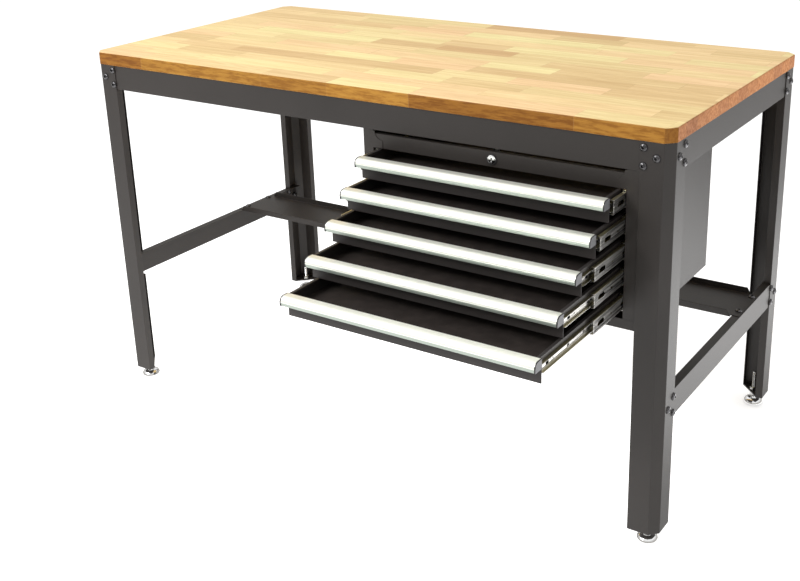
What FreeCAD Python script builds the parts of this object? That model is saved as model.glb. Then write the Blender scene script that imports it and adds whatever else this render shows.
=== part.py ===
import FreeCAD
import Part
import Sketcher
import math
import os
import re

# Workbench of folded steel with a glued hardwood top and five drawers on ball-bearing slides.
# X runs along the bench to the right, Y to the back, Z up from the floor. Millimetres.
# The origin lies on the floor, in the middle of the bench and of its drawn drawers.

DRAWERS = (1, 2, 3, 4, 5)
BOLT_SIDES = 12
PAD_SIDES = 24

# Driving sizes, a plain number each, and sizes that follow from them, a formula each.
SIZES = {
    # Worktop
    "top_length": "1524",
    "top_depth": "740",
    "top_thickness": "30",
    "corner_clip": "19",
    "top_round": "3",
    "bench_height": "900",
    # Legs, folded sheet with a corner facet and return lips
    "leg_inset": "1",
    "leg_width": "65",
    "leg_facet": "18",
    "leg_sheet": "2",
    "leg_lip": "18",
    "leg_lift": "34",
    "notch_gap": "1.5",
    # Rails between the legs
    "rail_height": "60",
    "rail_sheet": "2",
    "rail_flange": "25",
    "rail_end_gap": "2",
    "flange_relief": "40",
    "low_rail_middle": "314.5",
    "low_rail_flange": "20",
    # Lower shelf
    "shelf_offset": "80",
    "shelf_depth": "145",
    "shelf_sheet": "1.5",
    "shelf_lip": "16",
    "shelf_lip_rake": "8",
    "shelf_tab_inset": "8",
    "shelf_end_gap": "1",
    # Bolts, placed from the outer corner of a leg and from the corner of a shelf tab
    "bolt_head": "16",
    "bolt_crown": "4.5",
    "bolt_rim": "1.2",
    "bolt_flat": "8",
    "bolt_near": "32",
    "bolt_far": "58",
    "bolt_pitch": "18",
    "shelf_bolt_inset": "10",
    "shelf_bolt_front": "29",
    "shelf_bolt_back": "10",
    # Screw feet
    "pad_diameter": "50",
    "pad_height": "18",
    "pad_rim": "3",
    "pad_shoulder": "40",
    "pad_step": "12",
    "dome_rim": "0.8",
    "pad_neck": "18",
    "stem_diameter": "10",
    "stem_rise": "50",
    "nut_width": "17",
    "nut_height": "8",
    "foot_plate": "3",
    "foot_inset": "32",
    "foot_gap": "0.3",
    # Drawer cabinet
    "cab_gap": "1",
    "cab_sheet": "1.2",
    "cab_depth": "388",
    "cab_flange": "20",
    "opening_width": "586",
    "stile_width": "25",
    "stile_return": "40",
    "stile_rise": "12",
    "tab_width": "24.5",
    "tab_round": "20",
    "lock_panel_gap": "8.5",
    "lock_panel_height": "31.5",
    "lock_panel_flange": "12",
    "base_rail": "21",
    "base_lip": "15",
    "post_setback": "300",
    "post_flange": "30",
    # Lock
    "lock_collar": "23",
    "lock_collar_rise": "3",
    "lock_barrel": "18",
    "lock_barrel_length": "18",
    "plug_diameter": "14",
    "plug_tail": "8",
    "plug_gap": "0.3",
    "key_slot_width": "2.6",
    "key_slot_height": "9",
    "key_slot_depth": "5",
    "cam_width": "14",
    "cam_reach": "22",
    "cam_sheet": "2.5",
    # Ball-bearing slides
    "slide_depth": "12.7",
    "slide_height": "35",
    "slide_sheet": "1.2",
    "slide_reach": "10.2",
    "slide_lip": "2.6",
    "slide_length": "350",
    "slide_setback": "5",
    "slide_drop": "19.3",
    "run_gap": "0.4",
    "mid_height": "29",
    "mid_sheet": "1",
    "mid_reach": "9.4",
    "mid_length": "330",
    "mid_travel": "132",
    "cage_start": "5",
    "cage_width": "3.6",
    "rear_cage_start": "140",
    "rear_cage_length": "186",
    "front_cage_start": "6",
    "front_cage_length": "120",
    "inner_height": "19",
    "inner_sheet": "1",
    "inner_start": "6.5",
    "inner_length": "345",
    "inner_setback": "1",
    # Drawers
    "drawer_pitch": "53.3",
    "drawer_gap": "4.3",
    "drawer1_open": "56",
    "drawer2_open": "111",
    "drawer3_open": "167",
    "drawer4_open": "237",
    "drawer5_open": "318",
    "tray_sheet": "1",
    "tray_depth": "350",
    "tray_lift": "18.5",
    "hem_width": "7",
    "hem_drop": "5",
    "panel_sheet": "1.5",
    "panel_overlap": "3.7",
    "liner_thickness": "2",
    "liner_gap": "1",
    # Pulls
    "pull_depth": "24",
    "pull_height": "19.5",
    "pull_wall": "1.6",
    "pull_round": "17",
    "pull_back": "12",
    "pull_lip": "3.5",
    "pull_overhang": "1.2",
    "cap_thickness": "3",
    # Cuts start and end this far outside what they cut
    "overrun": "2",
    # Places that follow from the sizes
    "bench_y": "=(cab_face_depth + drawer5_open + pull_depth - top_depth / 2) / 2",
    "cab_face_depth": "=top_depth / 2 - leg_inset - leg_sheet - rail_sheet",
    "top_bottom": "=bench_height - top_thickness",
    "leg_side": "=top_length / 2 - leg_inset",
    "leg_front": "=bench_y - top_depth / 2 + leg_inset",
    "leg_back": "=bench_y + top_depth / 2 - leg_inset",
    "fold_share": "=sqrt(2) - 1",
    "facet_inside": "=leg_facet + leg_sheet * fold_share",
    "rail_side": "=leg_side - leg_sheet",
    "rail_front": "=leg_front + leg_sheet",
    "rail_back": "=leg_back - leg_sheet",
    "rail_end": "=facet_inside + rail_end_gap",
    "rail_bottom": "=top_bottom - rail_height",
    "low_rail_top": "=low_rail_middle + rail_height / 2",
    "low_rail_bottom": "=low_rail_middle - rail_height / 2",
    "shelf_front": "=bench_y + shelf_offset",
    "shelf_half": "=rail_side - low_rail_flange - shelf_end_gap",
    "shelf_tab": "=rail_side - rail_sheet - shelf_end_gap",
    "cab_face": "=rail_front + rail_sheet",
    "cab_right": "=leg_side - leg_width - cab_gap",
    "cab_mid": "=cab_right - stile_width - opening_width / 2",
    "cab_half": "=opening_width / 2 + stile_width",
    "opening_top": "=rail_bottom - lock_panel_gap - lock_panel_height",
    "opening_bottom": "=opening_top - %d * drawer_pitch" % len(DRAWERS),
    "cab_bottom": "=opening_bottom - base_rail",
    "stile_top": "=rail_bottom + stile_rise",
    "base_top": "=cab_bottom + cab_sheet",
    "lock_face": "=cab_face + cab_sheet",
    "lock_height": "=opening_top + lock_panel_height / 2",
    "panel_height": "=drawer_pitch - drawer_gap",
    "tray_half": "=opening_width / 2 - slide_depth",
    "panel_half": "=tray_half + panel_overlap",
    "pull_half": "=panel_half + pull_overhang",
    "mid_web": "=slide_sheet + run_gap",
    "rear_cage_top": "=slide_height / 2 - slide_sheet - run_gap",
    "front_cage_bottom": "=inner_height / 2 + run_gap",
}

doc = FreeCAD.newDocument("Workbench")
sheet = doc.addObject("Spreadsheet::Sheet", "Sizes")
for row, (alias, content) in enumerate(SIZES.items(), start=1):
    sheet.set("A%d" % row, alias)
    sheet.setAlias("B%d" % row, alias)
    sheet.set("B%d" % row, content)
doc.recompute()

nodes = []


def bind(text):
    """Writes the names of sizes in a formula as cells of the sheet."""
    return re.sub(r"[a-z][a-z0-9_]+", lambda m: "Sizes." + m[0] if m[0] in SIZES else m[0], str(text))


def value(text):
    """The number that a formula of named sizes gives."""
    return float(sheet.evalExpression(bind(text)))


def new_body(name):
    body = doc.addObject("PartDesign::Body", name)
    body.Label = name
    return body


def keep(part):
    """Marks a finished sub-part as one of the nodes."""
    nodes.append(part)
    return part


def place(part, x="0", y="0", z="0"):
    """Ties a sub-part's place to named sizes."""
    for axis, text in zip("xyz", (x, y, z)):
        part.setExpression("Placement.Base." + axis, bind(text))
    return part


def new_sketch(body, name, plane, level):
    """An empty sketch parallel to an origin plane, at a level along the plane's world axis."""
    sketch = body.newObject("Sketcher::SketchObject", name)
    support = next(f for f in body.Origin.OriginFeatures if f.Role == plane + "_Plane")
    sketch.AttachmentSupport = (support, "")
    sketch.MapMode = "FlatFace"
    sign = "-1 * " if plane == "XZ" else ""
    sketch.setExpression("AttachmentOffset.Base.z", bind("%s(%s)" % (sign, level)))
    return sketch


def hold(sketch, kind, corner, text):
    """Holds a corner of a sketch at a formula, measured from the sketch's origin."""
    index = sketch.addConstraint(Sketcher.Constraint(kind, -1, 1, corner[0], corner[1], value(text)))
    sketch.setExpression("Constraints[%d]" % index, bind(text))


def arc_between(start, end, radius, turn):
    """The short arc from start to end that turns left (1) or right (-1)."""
    middle = (start + end) / 2
    chord = end - start
    left = FreeCAD.Vector(-chord.y, chord.x, 0).normalize()
    rise = math.sqrt(max(radius ** 2 - (chord.Length / 2) ** 2, 0))
    centre = middle + left * rise * turn
    first, last = (start, end) if turn > 0 else (end, start)
    circle = Part.Circle(centre, FreeCAD.Vector(0, 0, 1), radius)
    angle_a = math.atan2(first.y - centre.y, first.x - centre.x)
    angle_b = math.atan2(last.y - centre.y, last.x - centre.x)
    return Part.ArcOfCircle(circle, angle_a, angle_b)


def outline(body, name, plane, level, corners, arcs=None):
    """A closed outline through corners given as pairs of formulas.

    arcs maps a corner's index to (radius, turn) where the side that starts there is an arc.
    """
    arcs = arcs or {}
    sketch = new_sketch(body, name, plane, level)
    points = [FreeCAD.Vector(value(x), value(y), 0) for x, y in corners]
    count = len(points)
    heads = []
    tails = []
    for i in range(count):
        start, end = points[i], points[(i + 1) % count]
        if i in arcs:
            radius, turn = arcs[i]
            sketch.addGeometry(arc_between(start, end, value(radius), turn), False)
        else:
            turn = 1
            sketch.addGeometry(Part.LineSegment(start, end), False)
        heads.append((i, 1 if turn > 0 else 2))
        tails.append((i, 2 if turn > 0 else 1))
    for i in range(count):
        sketch.addConstraint(Sketcher.Constraint("Coincident", *tails[i], *heads[(i + 1) % count]))
    for i, (x, y) in enumerate(corners):
        hold(sketch, "DistanceX", heads[i], x)
        hold(sketch, "DistanceY", heads[i], y)
    for i, (radius, turn) in arcs.items():
        index = sketch.addConstraint(Sketcher.Constraint("Radius", i, value(radius)))
        sketch.setExpression("Constraints[%d]" % index, bind(radius))
    return sketch


def ring(body, name, plane, level, centre, diameter):
    """A circle at a centre given as a pair of formulas."""
    sketch = new_sketch(body, name, plane, level)
    middle = FreeCAD.Vector(value(centre[0]), value(centre[1]), 0)
    sketch.addGeometry(Part.Circle(middle, FreeCAD.Vector(0, 0, 1), value(diameter) / 2), False)
    hold(sketch, "DistanceX", (0, 3), centre[0])
    hold(sketch, "DistanceY", (0, 3), centre[1])
    index = sketch.addConstraint(Sketcher.Constraint("Diameter", 0, value(diameter)))
    sketch.setExpression("Constraints[%d]" % index, bind(diameter))
    return sketch


def pad(body, sketch, length):
    """Raises a sketch towards +X, +Y or +Z."""
    feature = body.newObject("PartDesign::Pad", sketch.Name + "_pad")
    feature.Profile = sketch
    feature.Reversed = sketch.AttachmentSupport[0][0].Role == "XZ_Plane"
    feature.setExpression("Length", bind(length))
    doc.recompute()
    return feature


def pocket(body, sketch, length):
    """Cuts a sketch towards +X, +Y or +Z, and makes sure that it cuts."""
    before = body.Shape.Volume
    feature = body.newObject("PartDesign::Pocket", sketch.Name + "_pocket")
    feature.Profile = sketch
    feature.Reversed = sketch.AttachmentSupport[0][0].Role != "XZ_Plane"
    feature.setExpression("Length", bind(length))
    doc.recompute()
    if body.Shape.Volume >= before:
        raise RuntimeError("the cut %s takes nothing away" % sketch.Name)
    return feature


def revolve(body, sketch, axis):
    """Turns a sketch once round its own H_Axis or V_Axis."""
    feature = body.newObject("PartDesign::Revolution", sketch.Name + "_turned")
    feature.Profile = sketch
    feature.ReferenceAxis = (sketch, [axis])
    feature.Angle = 360
    doc.recompute()
    return feature


def box_corners(x_low, x_high, y_low, y_high):
    return [(x_low, y_low), (x_high, y_low), (x_high, y_high), (x_low, y_high)]


def hexagon(width, x="0", y="0"):
    """Corners of a hexagon by its width across flats."""
    half = "%s / 2" % width
    short = "%s / sqrt(12)" % width
    long = "%s / sqrt(3)" % width
    ring_points = [(half, "-(%s)" % short), (half, short), ("0", long),
                   ("-(%s)" % half, short), ("-(%s)" % half, "-(%s)" % short), ("0", "-(%s)" % long)]
    return [("%s + %s" % (x, px), "%s + %s" % (y, py)) for px, py in ring_points]


def polygon(sides, radius):
    """Corners of a regular polygon by the radius that they lie on."""
    turns = [360 * i / sides for i in range(sides)]
    return [("%s * cos(%g)" % (radius, turn), "%s * sin(%g)" % (radius, turn)) for turn in turns]


def on_edges(body, kind, name, chosen):
    """A fillet or chamfer on the edges that chosen accepts."""
    base = body.Tip
    names = ["Edge%d" % (i + 1) for i, edge in enumerate(base.Shape.Edges) if chosen(edge)]
    feature = body.newObject(kind, name)
    feature.Base = (base, names)
    return feature


def button(body, name, level, sides, width, flat, height, rim):
    """A round head of a few sides: an upright rim, then a slope up to a flat top."""
    pad(body, outline(body, name + "_plan", "XY", level, polygon(sides, "%s / 2" % width)), height)
    middle = value("%s + (%s) / 2" % (level, height))
    slope = on_edges(body, "PartDesign::Chamfer", name + "_slope", lambda e: e.BoundBox.ZMin > middle)
    slope.ChamferType = "Two distances"
    slope.setExpression("Size", bind("%s - %s" % (height, rim)))
    slope.setExpression("Size2", bind("(%s - %s) / 2" % (width, flat)))
    doc.recompute()


def mirrored(part, name, middle):
    """The other one of a pair, mirrored across an upright plane at x = middle."""
    other = doc.addObject("Part::Mirroring", name)
    other.Label = name
    other.Source = part
    other.Normal = FreeCAD.Vector(1, 0, 0)
    other.setExpression("Base.x", bind(middle))
    return other


def group(name, parts):
    """Separate solids that share one node."""
    whole = doc.addObject("Part::Compound", name)
    whole.Label = name
    whole.Links = parts
    return whole


def copies(name, source, placements):
    """A group of copies of one finished piece at worked-out placements."""
    doc.recompute()
    solids = []
    for placement in placements:
        solid = source.Shape.copy()
        solid.Placement = placement
        solids.append(solid)
    whole = doc.addObject("Part::Feature", name)
    whole.Label = name
    whole.Shape = Part.makeCompound(solids)
    return whole


def make_worktop():
    body = new_body("worktop")
    half, clip = "top_length / 2", "corner_clip"
    front, back = "bench_y - top_depth / 2", "bench_y + top_depth / 2"
    corners = [("-%s + %s" % (half, clip), front), ("%s - %s" % (half, clip), front),
               (half, front + " + " + clip), (half, back + " - " + clip),
               ("%s - %s" % (half, clip), back), ("-%s + %s" % (half, clip), back),
               ("-" + half, back + " - " + clip), ("-" + half, front + " + " + clip)]
    pad(body, outline(body, "worktop_plan", "XY", "top_bottom", corners), "top_thickness")
    rounded = value("bench_height - top_round")
    edge = on_edges(body, "PartDesign::Fillet", "worktop_round", lambda e: e.BoundBox.ZMin > rounded)
    edge.setExpression("Radius", bind("top_round"))
    doc.recompute()
    keep(body)


def leg_point(side, end, a, b):
    """A plan point inside a leg: a inward from its side face, b inward from its front or rear face."""
    x = "%d * (leg_side - (%s))" % (side, a)
    y = "leg_front + (%s)" % b if end < 0 else "leg_back - (%s)" % b
    return (x, y)


def make_leg(name, side, end):
    """Folded leg: lip, flange, corner facet, flange, lip. The lips stop short of the rails."""
    body = new_body(name)
    section = [("leg_width", "leg_lip"), ("leg_width", "0"), ("leg_facet", "0"), ("0", "leg_facet"),
               ("0", "leg_width"), ("leg_lip", "leg_width"), ("leg_lip", "leg_width - leg_sheet"),
               ("leg_sheet", "leg_width - leg_sheet"), ("leg_sheet", "facet_inside"),
               ("facet_inside", "leg_sheet"), ("leg_width - leg_sheet", "leg_sheet"),
               ("leg_width - leg_sheet", "leg_lip")]
    corners = [leg_point(side, end, a, b) for a, b in section]
    pad(body, outline(body, name + "_section", "XY", "leg_lift", corners), "top_bottom - leg_lift")
    along = ("leg_sheet", "leg_lip + overrun")
    across = ("leg_width - leg_sheet - overrun", "leg_width + overrun")
    upper = ("rail_bottom - notch_gap", "rail_height + notch_gap + overrun")
    lower = ("low_rail_bottom - notch_gap", "rail_height + 2 * notch_gap")
    notches = [("end_notch", across, along, upper), ("side_notch", along, across, upper),
               ("shelf_notch", along, across, lower)]
    for label, a_range, b_range, (level, length) in notches:
        a_b = [(a_range[0], b_range[0]), (a_range[1], b_range[0]),
               (a_range[1], b_range[1]), (a_range[0], b_range[1])]
        corners = [leg_point(side, end, a, b) for a, b in a_b]
        pocket(body, outline(body, "%s_%s" % (name, label), "XY", level, corners), length)
    keep(body)


def make_apron(name, end):
    """Angle between the legs on the long side, its top flange turned inward under the worktop."""
    body = new_body(name)
    face = "rail_front" if end < 0 else "rail_back"
    inward = -end
    web = "%s + %d * rail_sheet" % (face, inward)
    edge = "%s + %d * rail_flange" % (face, inward)
    corners = [(face, "rail_bottom"), (web, "rail_bottom"), (web, "top_bottom - rail_sheet"),
               (edge, "top_bottom - rail_sheet"), (edge, "top_bottom"), (face, "top_bottom")]
    half = "(leg_side - rail_end)"
    section = outline(body, name + "_section", "YZ", "-" + half, corners)
    pad(body, section, "2 * " + half)
    past = "%s + %d * (rail_flange + overrun)" % (face, inward)
    for side in (-1, 1):
        level = "-%s - overrun" % half if side < 0 else half + " - flange_relief"
        cut = box_corners(web, past, "top_bottom - rail_sheet - overrun", "top_bottom + overrun")
        pocket(body, outline(body, "%s_relief%d" % (name, side + 2), "YZ", level, cut),
               "flange_relief + overrun")
    keep(body)


def make_side_rail(name, side, top, bottom, flange, relief):
    """Angle between the legs on the short side, its top flange turned inward."""
    body = new_body(name)
    face = "%d * rail_side" % side
    web = "%d * (rail_side - rail_sheet)" % side
    edge = "%d * (rail_side - %s)" % (side, flange)
    corners = [(face, bottom), (web, bottom), (web, top + " - rail_sheet"),
               (edge, top + " - rail_sheet"), (edge, top), (face, top)]
    start = "(leg_front + rail_end)"
    length = "(leg_back - leg_front - 2 * rail_end)"
    pad(body, outline(body, name + "_section", "XZ", start, corners), length)
    if relief:
        past = "%d * (rail_side - %s - overrun)" % (side, flange)
        cut = box_corners(web, past, top + " - rail_sheet - overrun", top + " + overrun")
        for index, level in enumerate((start + " - overrun", "%s + %s - flange_relief" % (start, length))):
            pocket(body, outline(body, "%s_relief%d" % (name, index), "XZ", level, cut),
                   "flange_relief + overrun")
    keep(body)


def make_shelf():
    """Narrow tray across the lower side rails, with flat tabs on the rails and up-turned lips."""
    body = new_body("lower_shelf")
    back = "shelf_front + shelf_depth"
    tab_front, tab_back = "shelf_front + shelf_tab_inset", back + " - shelf_tab_inset"
    corners = [("-shelf_half", "shelf_front"), ("shelf_half", "shelf_front"), ("shelf_half", tab_front),
               ("shelf_tab", tab_front), ("shelf_tab", tab_back), ("shelf_half", tab_back),
               ("shelf_half", back), ("-shelf_half", back), ("-shelf_half", tab_back),
               ("-shelf_tab", tab_back), ("-shelf_tab", tab_front), ("-shelf_half", tab_front)]
    pad(body, outline(body, "shelf_plan", "XY", "low_rail_top", corners), "shelf_sheet")
    lip = [("-shelf_half", "low_rail_top"), ("shelf_half", "low_rail_top"),
           ("shelf_half", "low_rail_top + shelf_sheet"),
           ("shelf_half - shelf_lip_rake", "low_rail_top + shelf_lip"),
           ("-shelf_half + shelf_lip_rake", "low_rail_top + shelf_lip"),
           ("-shelf_half", "low_rail_top + shelf_sheet")]
    pad(body, outline(body, "shelf_front_lip", "XZ", "shelf_front", lip), "shelf_sheet")
    pad(body, outline(body, "shelf_back_lip", "XZ", back + " - shelf_sheet", lip), "shelf_sheet")
    keep(body)


def make_bolts():
    """Button heads in threes where rails meet legs, and in twos on the shelf's tabs."""
    head = new_body("bolt_head_pattern")
    button(head, "bolt", "0", BOLT_SIDES, "bolt_head", "bolt_flat", "bolt_crown", "bolt_rim")
    far, near, pitch = value("bolt_far"), value("bolt_near"), value("bolt_pitch")
    cluster = [(far, -pitch), (far, pitch), (near, 0)]
    top_middle = value("rail_bottom + rail_height / 2")
    low_middle = value("low_rail_middle")
    side_x = value("leg_side")
    spots = []
    for side in (-1, 1):
        for end, face_y in ((-1, value("leg_front")), (1, value("leg_back"))):
            turn = FreeCAD.Rotation(FreeCAD.Vector(0, 0, 1), FreeCAD.Vector(0, end, 0))
            for inward, rise in cluster:
                spots.append((FreeCAD.Vector(side * (side_x - inward), face_y, top_middle + rise), turn))
            turn = FreeCAD.Rotation(FreeCAD.Vector(0, 0, 1), FreeCAD.Vector(side, 0, 0))
            for inward, rise in cluster:
                for middle in (top_middle, low_middle):
                    spots.append((FreeCAD.Vector(side * side_x, face_y - end * inward, middle + rise), turn))
        shelf_z = value("low_rail_top + shelf_sheet")
        for text in ("shelf_front + shelf_tab_inset + shelf_bolt_front",
                     "shelf_front + shelf_depth - shelf_tab_inset - shelf_bolt_back"):
            point = FreeCAD.Vector(side * value("shelf_tab - shelf_bolt_inset"), value(text), shelf_z)
            spots.append((point, FreeCAD.Rotation()))
    keep(copies("frame_bolts", head, [FreeCAD.Placement(point, turn) for point, turn in spots]))


def make_foot_plates():
    """Plates that close the legs' lower ends between the lips, each with a weld nut for its foot."""
    plates = []
    section = [("facet_inside", "leg_sheet"), ("leg_width - leg_sheet", "leg_sheet"),
               ("leg_width - leg_sheet", "leg_lip"), ("leg_lip", "leg_width - leg_sheet"),
               ("leg_sheet", "leg_width - leg_sheet"), ("leg_sheet", "facet_inside")]
    bore = "stem_diameter + 2 * foot_gap"
    nut = new_body("foot_nut_pattern")
    pad(nut, outline(nut, "foot_nut_plan", "XY", "0", hexagon("nut_width")), "nut_height")
    pocket(nut, ring(nut, "foot_nut_bore", "XY", "-overrun", ("0", "0"), bore), "nut_height + 2 * overrun")
    spots = []
    for side in (-1, 1):
        for end in (-1, 1):
            body = new_body("foot_plate_%d%d" % (side + 1, end + 1))
            corners = [leg_point(side, end, a, b) for a, b in section]
            pad(body, outline(body, body.Name + "_plan", "XY", "leg_lift", corners), "foot_plate")
            centre = leg_point(side, end, "foot_inset", "foot_inset")
            pocket(body, ring(body, body.Name + "_hole", "XY", "leg_lift - overrun", centre, bore),
                   "foot_plate + 2 * overrun")
            plates.append(body)
            point = FreeCAD.Vector(value(centre[0]), value(centre[1]), value("leg_lift + foot_plate"))
            spots.append(FreeCAD.Placement(point, FreeCAD.Rotation()))
    keep(group("foot_plates", plates))
    keep(copies("foot_nuts", nut, spots))


def make_foot(name, side, end):
    """Domed pad on a screw stem, with a hexagon under the foot plate."""
    body = new_body(name)
    button(body, name + "_pad", "0", PAD_SIDES, "pad_diameter", "pad_shoulder", "pad_step", "pad_rim")
    button(body, name + "_dome", "pad_step", PAD_SIDES, "pad_shoulder", "pad_neck", "pad_height - pad_step",
           "dome_rim")
    stem = ring(body, name + "_stem", "XY", "pad_height", ("0", "0"), "stem_diameter")
    pad(body, stem, "leg_lift + foot_plate + stem_rise - pad_height")
    nut_level = "leg_lift - foot_gap - nut_height"
    pad(body, outline(body, name + "_nut", "XY", nut_level, hexagon("nut_width")), "nut_height")
    centre = leg_point(side, end, "foot_inset", "foot_inset")
    keep(place(body, centre[0], centre[1]))


def make_cabinet_side(name, side):
    """Side panel folded into a front stile and a return that carries the slides' front ends."""
    body = new_body(name)
    outer = "cab_mid + %d * cab_half" % side
    skin = "cab_mid + %d * (cab_half - cab_sheet)" % side
    inner = "cab_mid + %d * opening_width / 2" % side
    inner_skin = "cab_mid + %d * (opening_width / 2 + cab_sheet)" % side
    inside = "cab_mid + %d * (opening_width / 2 - overrun)" % side
    outside = "cab_mid + %d * (cab_half + overrun)" % side
    back = "cab_face + cab_depth"
    corners = [(outer, "cab_face"), (inner, "cab_face"), (inner, "cab_face + stile_return"),
               (inner_skin, "cab_face + stile_return"), (inner_skin, "cab_face + cab_sheet"),
               (skin, "cab_face + cab_sheet"), (skin, back), (outer, back)]
    pad(body, outline(body, name + "_section", "XY", "cab_bottom", corners), "top_bottom - cab_bottom")
    front = "cab_face - overrun"
    behind = "cab_face + stile_return + overrun"
    above = box_corners(skin, inside, front, behind)
    pocket(body, outline(body, name + "_above", "XY", "stile_top", above), "top_bottom - stile_top + overrun")
    below = box_corners(skin, inside, front, behind)
    pocket(body, outline(body, name + "_below", "XY", "cab_bottom - overrun", below), "base_rail + overrun")
    rail = box_corners(outside, inside, front, "cab_face + cab_sheet")
    pocket(body, outline(body, name + "_rail", "XY", "cab_bottom - overrun", rail), "base_rail + overrun")
    notch = box_corners(outside, inside, front, "cab_face + rail_flange - rail_sheet + notch_gap")
    pocket(body, outline(body, name + "_notch", "XY", "top_bottom - rail_sheet - notch_gap", notch),
           "rail_sheet + notch_gap + overrun")
    tab = "cab_mid + %d * (opening_width / 2 - tab_width)" % side
    round_end = "cab_mid + %d * (opening_width / 2 - tab_width + tab_round)" % side
    tab_top = "opening_top + lock_panel_height + stile_rise / 2"
    tab_corners = [(inner, "opening_top"), (tab, "opening_top"), (tab, tab_top + " - tab_round"),
                   (round_end, tab_top), (inner, tab_top)]
    rounded = {2: ("tab_round", side)}
    pad(body, outline(body, name + "_tab", "XZ", "cab_face", tab_corners, rounded), "cab_sheet")
    flange = box_corners(skin, "cab_mid + %d * (cab_half - cab_flange)" % side,
                         "cab_face + stile_return", back)
    pad(body, outline(body, name + "_flange", "XY", "top_bottom - cab_sheet", flange), "cab_sheet")
    keep(body)


def make_cabinet():
    make_cabinet_side("cabinet_side_left", -1)
    make_cabinet_side("cabinet_side_right", 1)
    left, right = "(cab_mid - cab_half)", "(cab_mid + cab_half)"
    back = "cab_face + cab_depth"
    base = new_body("cabinet_base")
    corners = [("cab_face", "cab_bottom"), (back, "cab_bottom"), (back, "cab_bottom + base_lip"),
               (back + " - cab_sheet", "cab_bottom + base_lip"), (back + " - cab_sheet", "base_top"),
               ("cab_face + cab_sheet", "base_top"), ("cab_face + cab_sheet", "opening_bottom"),
               ("cab_face", "opening_bottom")]
    pad(base, outline(base, "base_section", "YZ", left, corners), "2 * cab_half")
    ends = box_corners("cab_face + cab_sheet", back + " + overrun", "cab_bottom - overrun",
                       "cab_bottom + base_lip + overrun")
    for index, level in enumerate((left + " - overrun", right + " - cab_sheet")):
        pocket(base, outline(base, "base_end%d" % index, "YZ", level, ends), "cab_sheet + overrun")
    keep(base)
    rear = new_body("cabinet_back")
    inside = "(cab_half - cab_sheet)"
    rear_y = "(cab_face + cab_depth - cab_sheet)"
    turned = "(%s - lock_panel_flange)" % rear_y
    section = [("cab_mid - " + inside, turned), ("cab_mid - %s + cab_sheet" % inside, turned),
               ("cab_mid - %s + cab_sheet" % inside, rear_y + " - cab_sheet"),
               ("cab_mid + %s - cab_sheet" % inside, rear_y + " - cab_sheet"),
               ("cab_mid + %s - cab_sheet" % inside, turned), ("cab_mid + " + inside, turned),
               ("cab_mid + " + inside, rear_y), ("cab_mid - " + inside, rear_y)]
    pad(rear, outline(rear, "back_section", "XY", "base_top", section), "stile_top - base_top")
    keep(rear)
    panel = new_body("lock_panel")
    top = "opening_top + lock_panel_height"
    deep = "lock_face + lock_panel_flange"
    section = [("lock_face", "opening_top"), (deep, "opening_top"), (deep, "opening_top + cab_sheet"),
               ("lock_face + cab_sheet", "opening_top + cab_sheet"),
               ("lock_face + cab_sheet", top + " - cab_sheet"),
               (deep, top + " - cab_sheet"), (deep, top), ("lock_face", top)]
    end = "cab_mid - opening_width / 2"
    pad(panel, outline(panel, "lock_panel_section", "YZ", end, section), "opening_width")
    hole = ring(panel, "lock_hole", "XZ", "lock_face - overrun", ("cab_mid", "lock_height"),
                "lock_barrel + 2 * plug_gap")
    pocket(panel, hole, "cab_sheet + 2 * overrun")
    keep(panel)
    post = new_body("rear_post_left")
    skin, inner = "cab_mid - cab_half + cab_sheet", "cab_mid - opening_width / 2"
    start = "cab_face + post_setback"
    section = [(skin, start), (inner, start), (inner, start + " + post_flange"),
               (inner + " - cab_sheet", start + " + post_flange"),
               (inner + " - cab_sheet", start + " + cab_sheet"),
               (skin + " + cab_sheet", start + " + cab_sheet"),
               (skin + " + cab_sheet", start + " + post_flange"), (skin, start + " + post_flange")]
    pad(post, outline(post, "post_section", "XY", "base_top", section), "opening_top - base_top")
    keep(group("rear_posts", [post, mirrored(post, "rear_post_right", "cab_mid")]))


def make_lock():
    """Cylinder lock: a collar in front of its panel, a plug that turns in it, and a cam behind."""
    housing = new_body("lock_housing")
    bore = "plug_diameter / 2 + plug_gap"
    section = [("-lock_collar_rise", bore), ("-lock_collar_rise", "lock_collar / 2"),
               ("0", "lock_collar / 2"), ("0", "lock_barrel / 2"), ("lock_barrel_length", "lock_barrel / 2"),
               ("lock_barrel_length", bore)]
    revolve(housing, outline(housing, "housing_section", "YZ", "0", section), "H_Axis")
    keep(place(housing, "cab_mid", "lock_face", "lock_height"))
    plug = new_body("lock_plug")
    shoulder = "lock_barrel_length + plug_gap"
    section = [("-lock_collar_rise", "0"), (shoulder, "0"), (shoulder + " + 2 * cam_sheet", "0"),
               (shoulder + " + 2 * cam_sheet", "plug_tail / 2"), (shoulder, "plug_tail / 2"),
               (shoulder, "plug_diameter / 2"), ("-lock_collar_rise", "plug_diameter / 2")]
    revolve(plug, outline(plug, "plug_section", "YZ", "0", section), "H_Axis")
    slot = box_corners("-key_slot_width / 2", "key_slot_width / 2",
                       "-key_slot_height / 2", "key_slot_height / 2")
    pocket(plug, outline(plug, "key_slot", "XZ", "-lock_collar_rise - overrun", slot),
           "key_slot_depth + overrun")
    keep(place(plug, "cab_mid", "lock_face", "lock_height"))
    cam = new_body("lock_cam")
    half = "cam_width / 2"
    plan = [("-" + half, "-" + half), (half, "-" + half), (half, "cam_reach - " + half), ("0", "cam_reach"),
            ("-" + half, "cam_reach - " + half)]
    pad(cam, outline(cam, "cam_plan", "XZ", shoulder, plan, {2: (half, 1), 3: (half, 1)}), "cam_sheet")
    hole = ring(cam, "cam_hole", "XZ", shoulder + " - overrun", ("0", "0"), "plug_tail + 2 * plug_gap")
    pocket(cam, hole, "cam_sheet + 2 * overrun")
    keep(place(cam, "cab_mid", "lock_face", "lock_height"))


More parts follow.
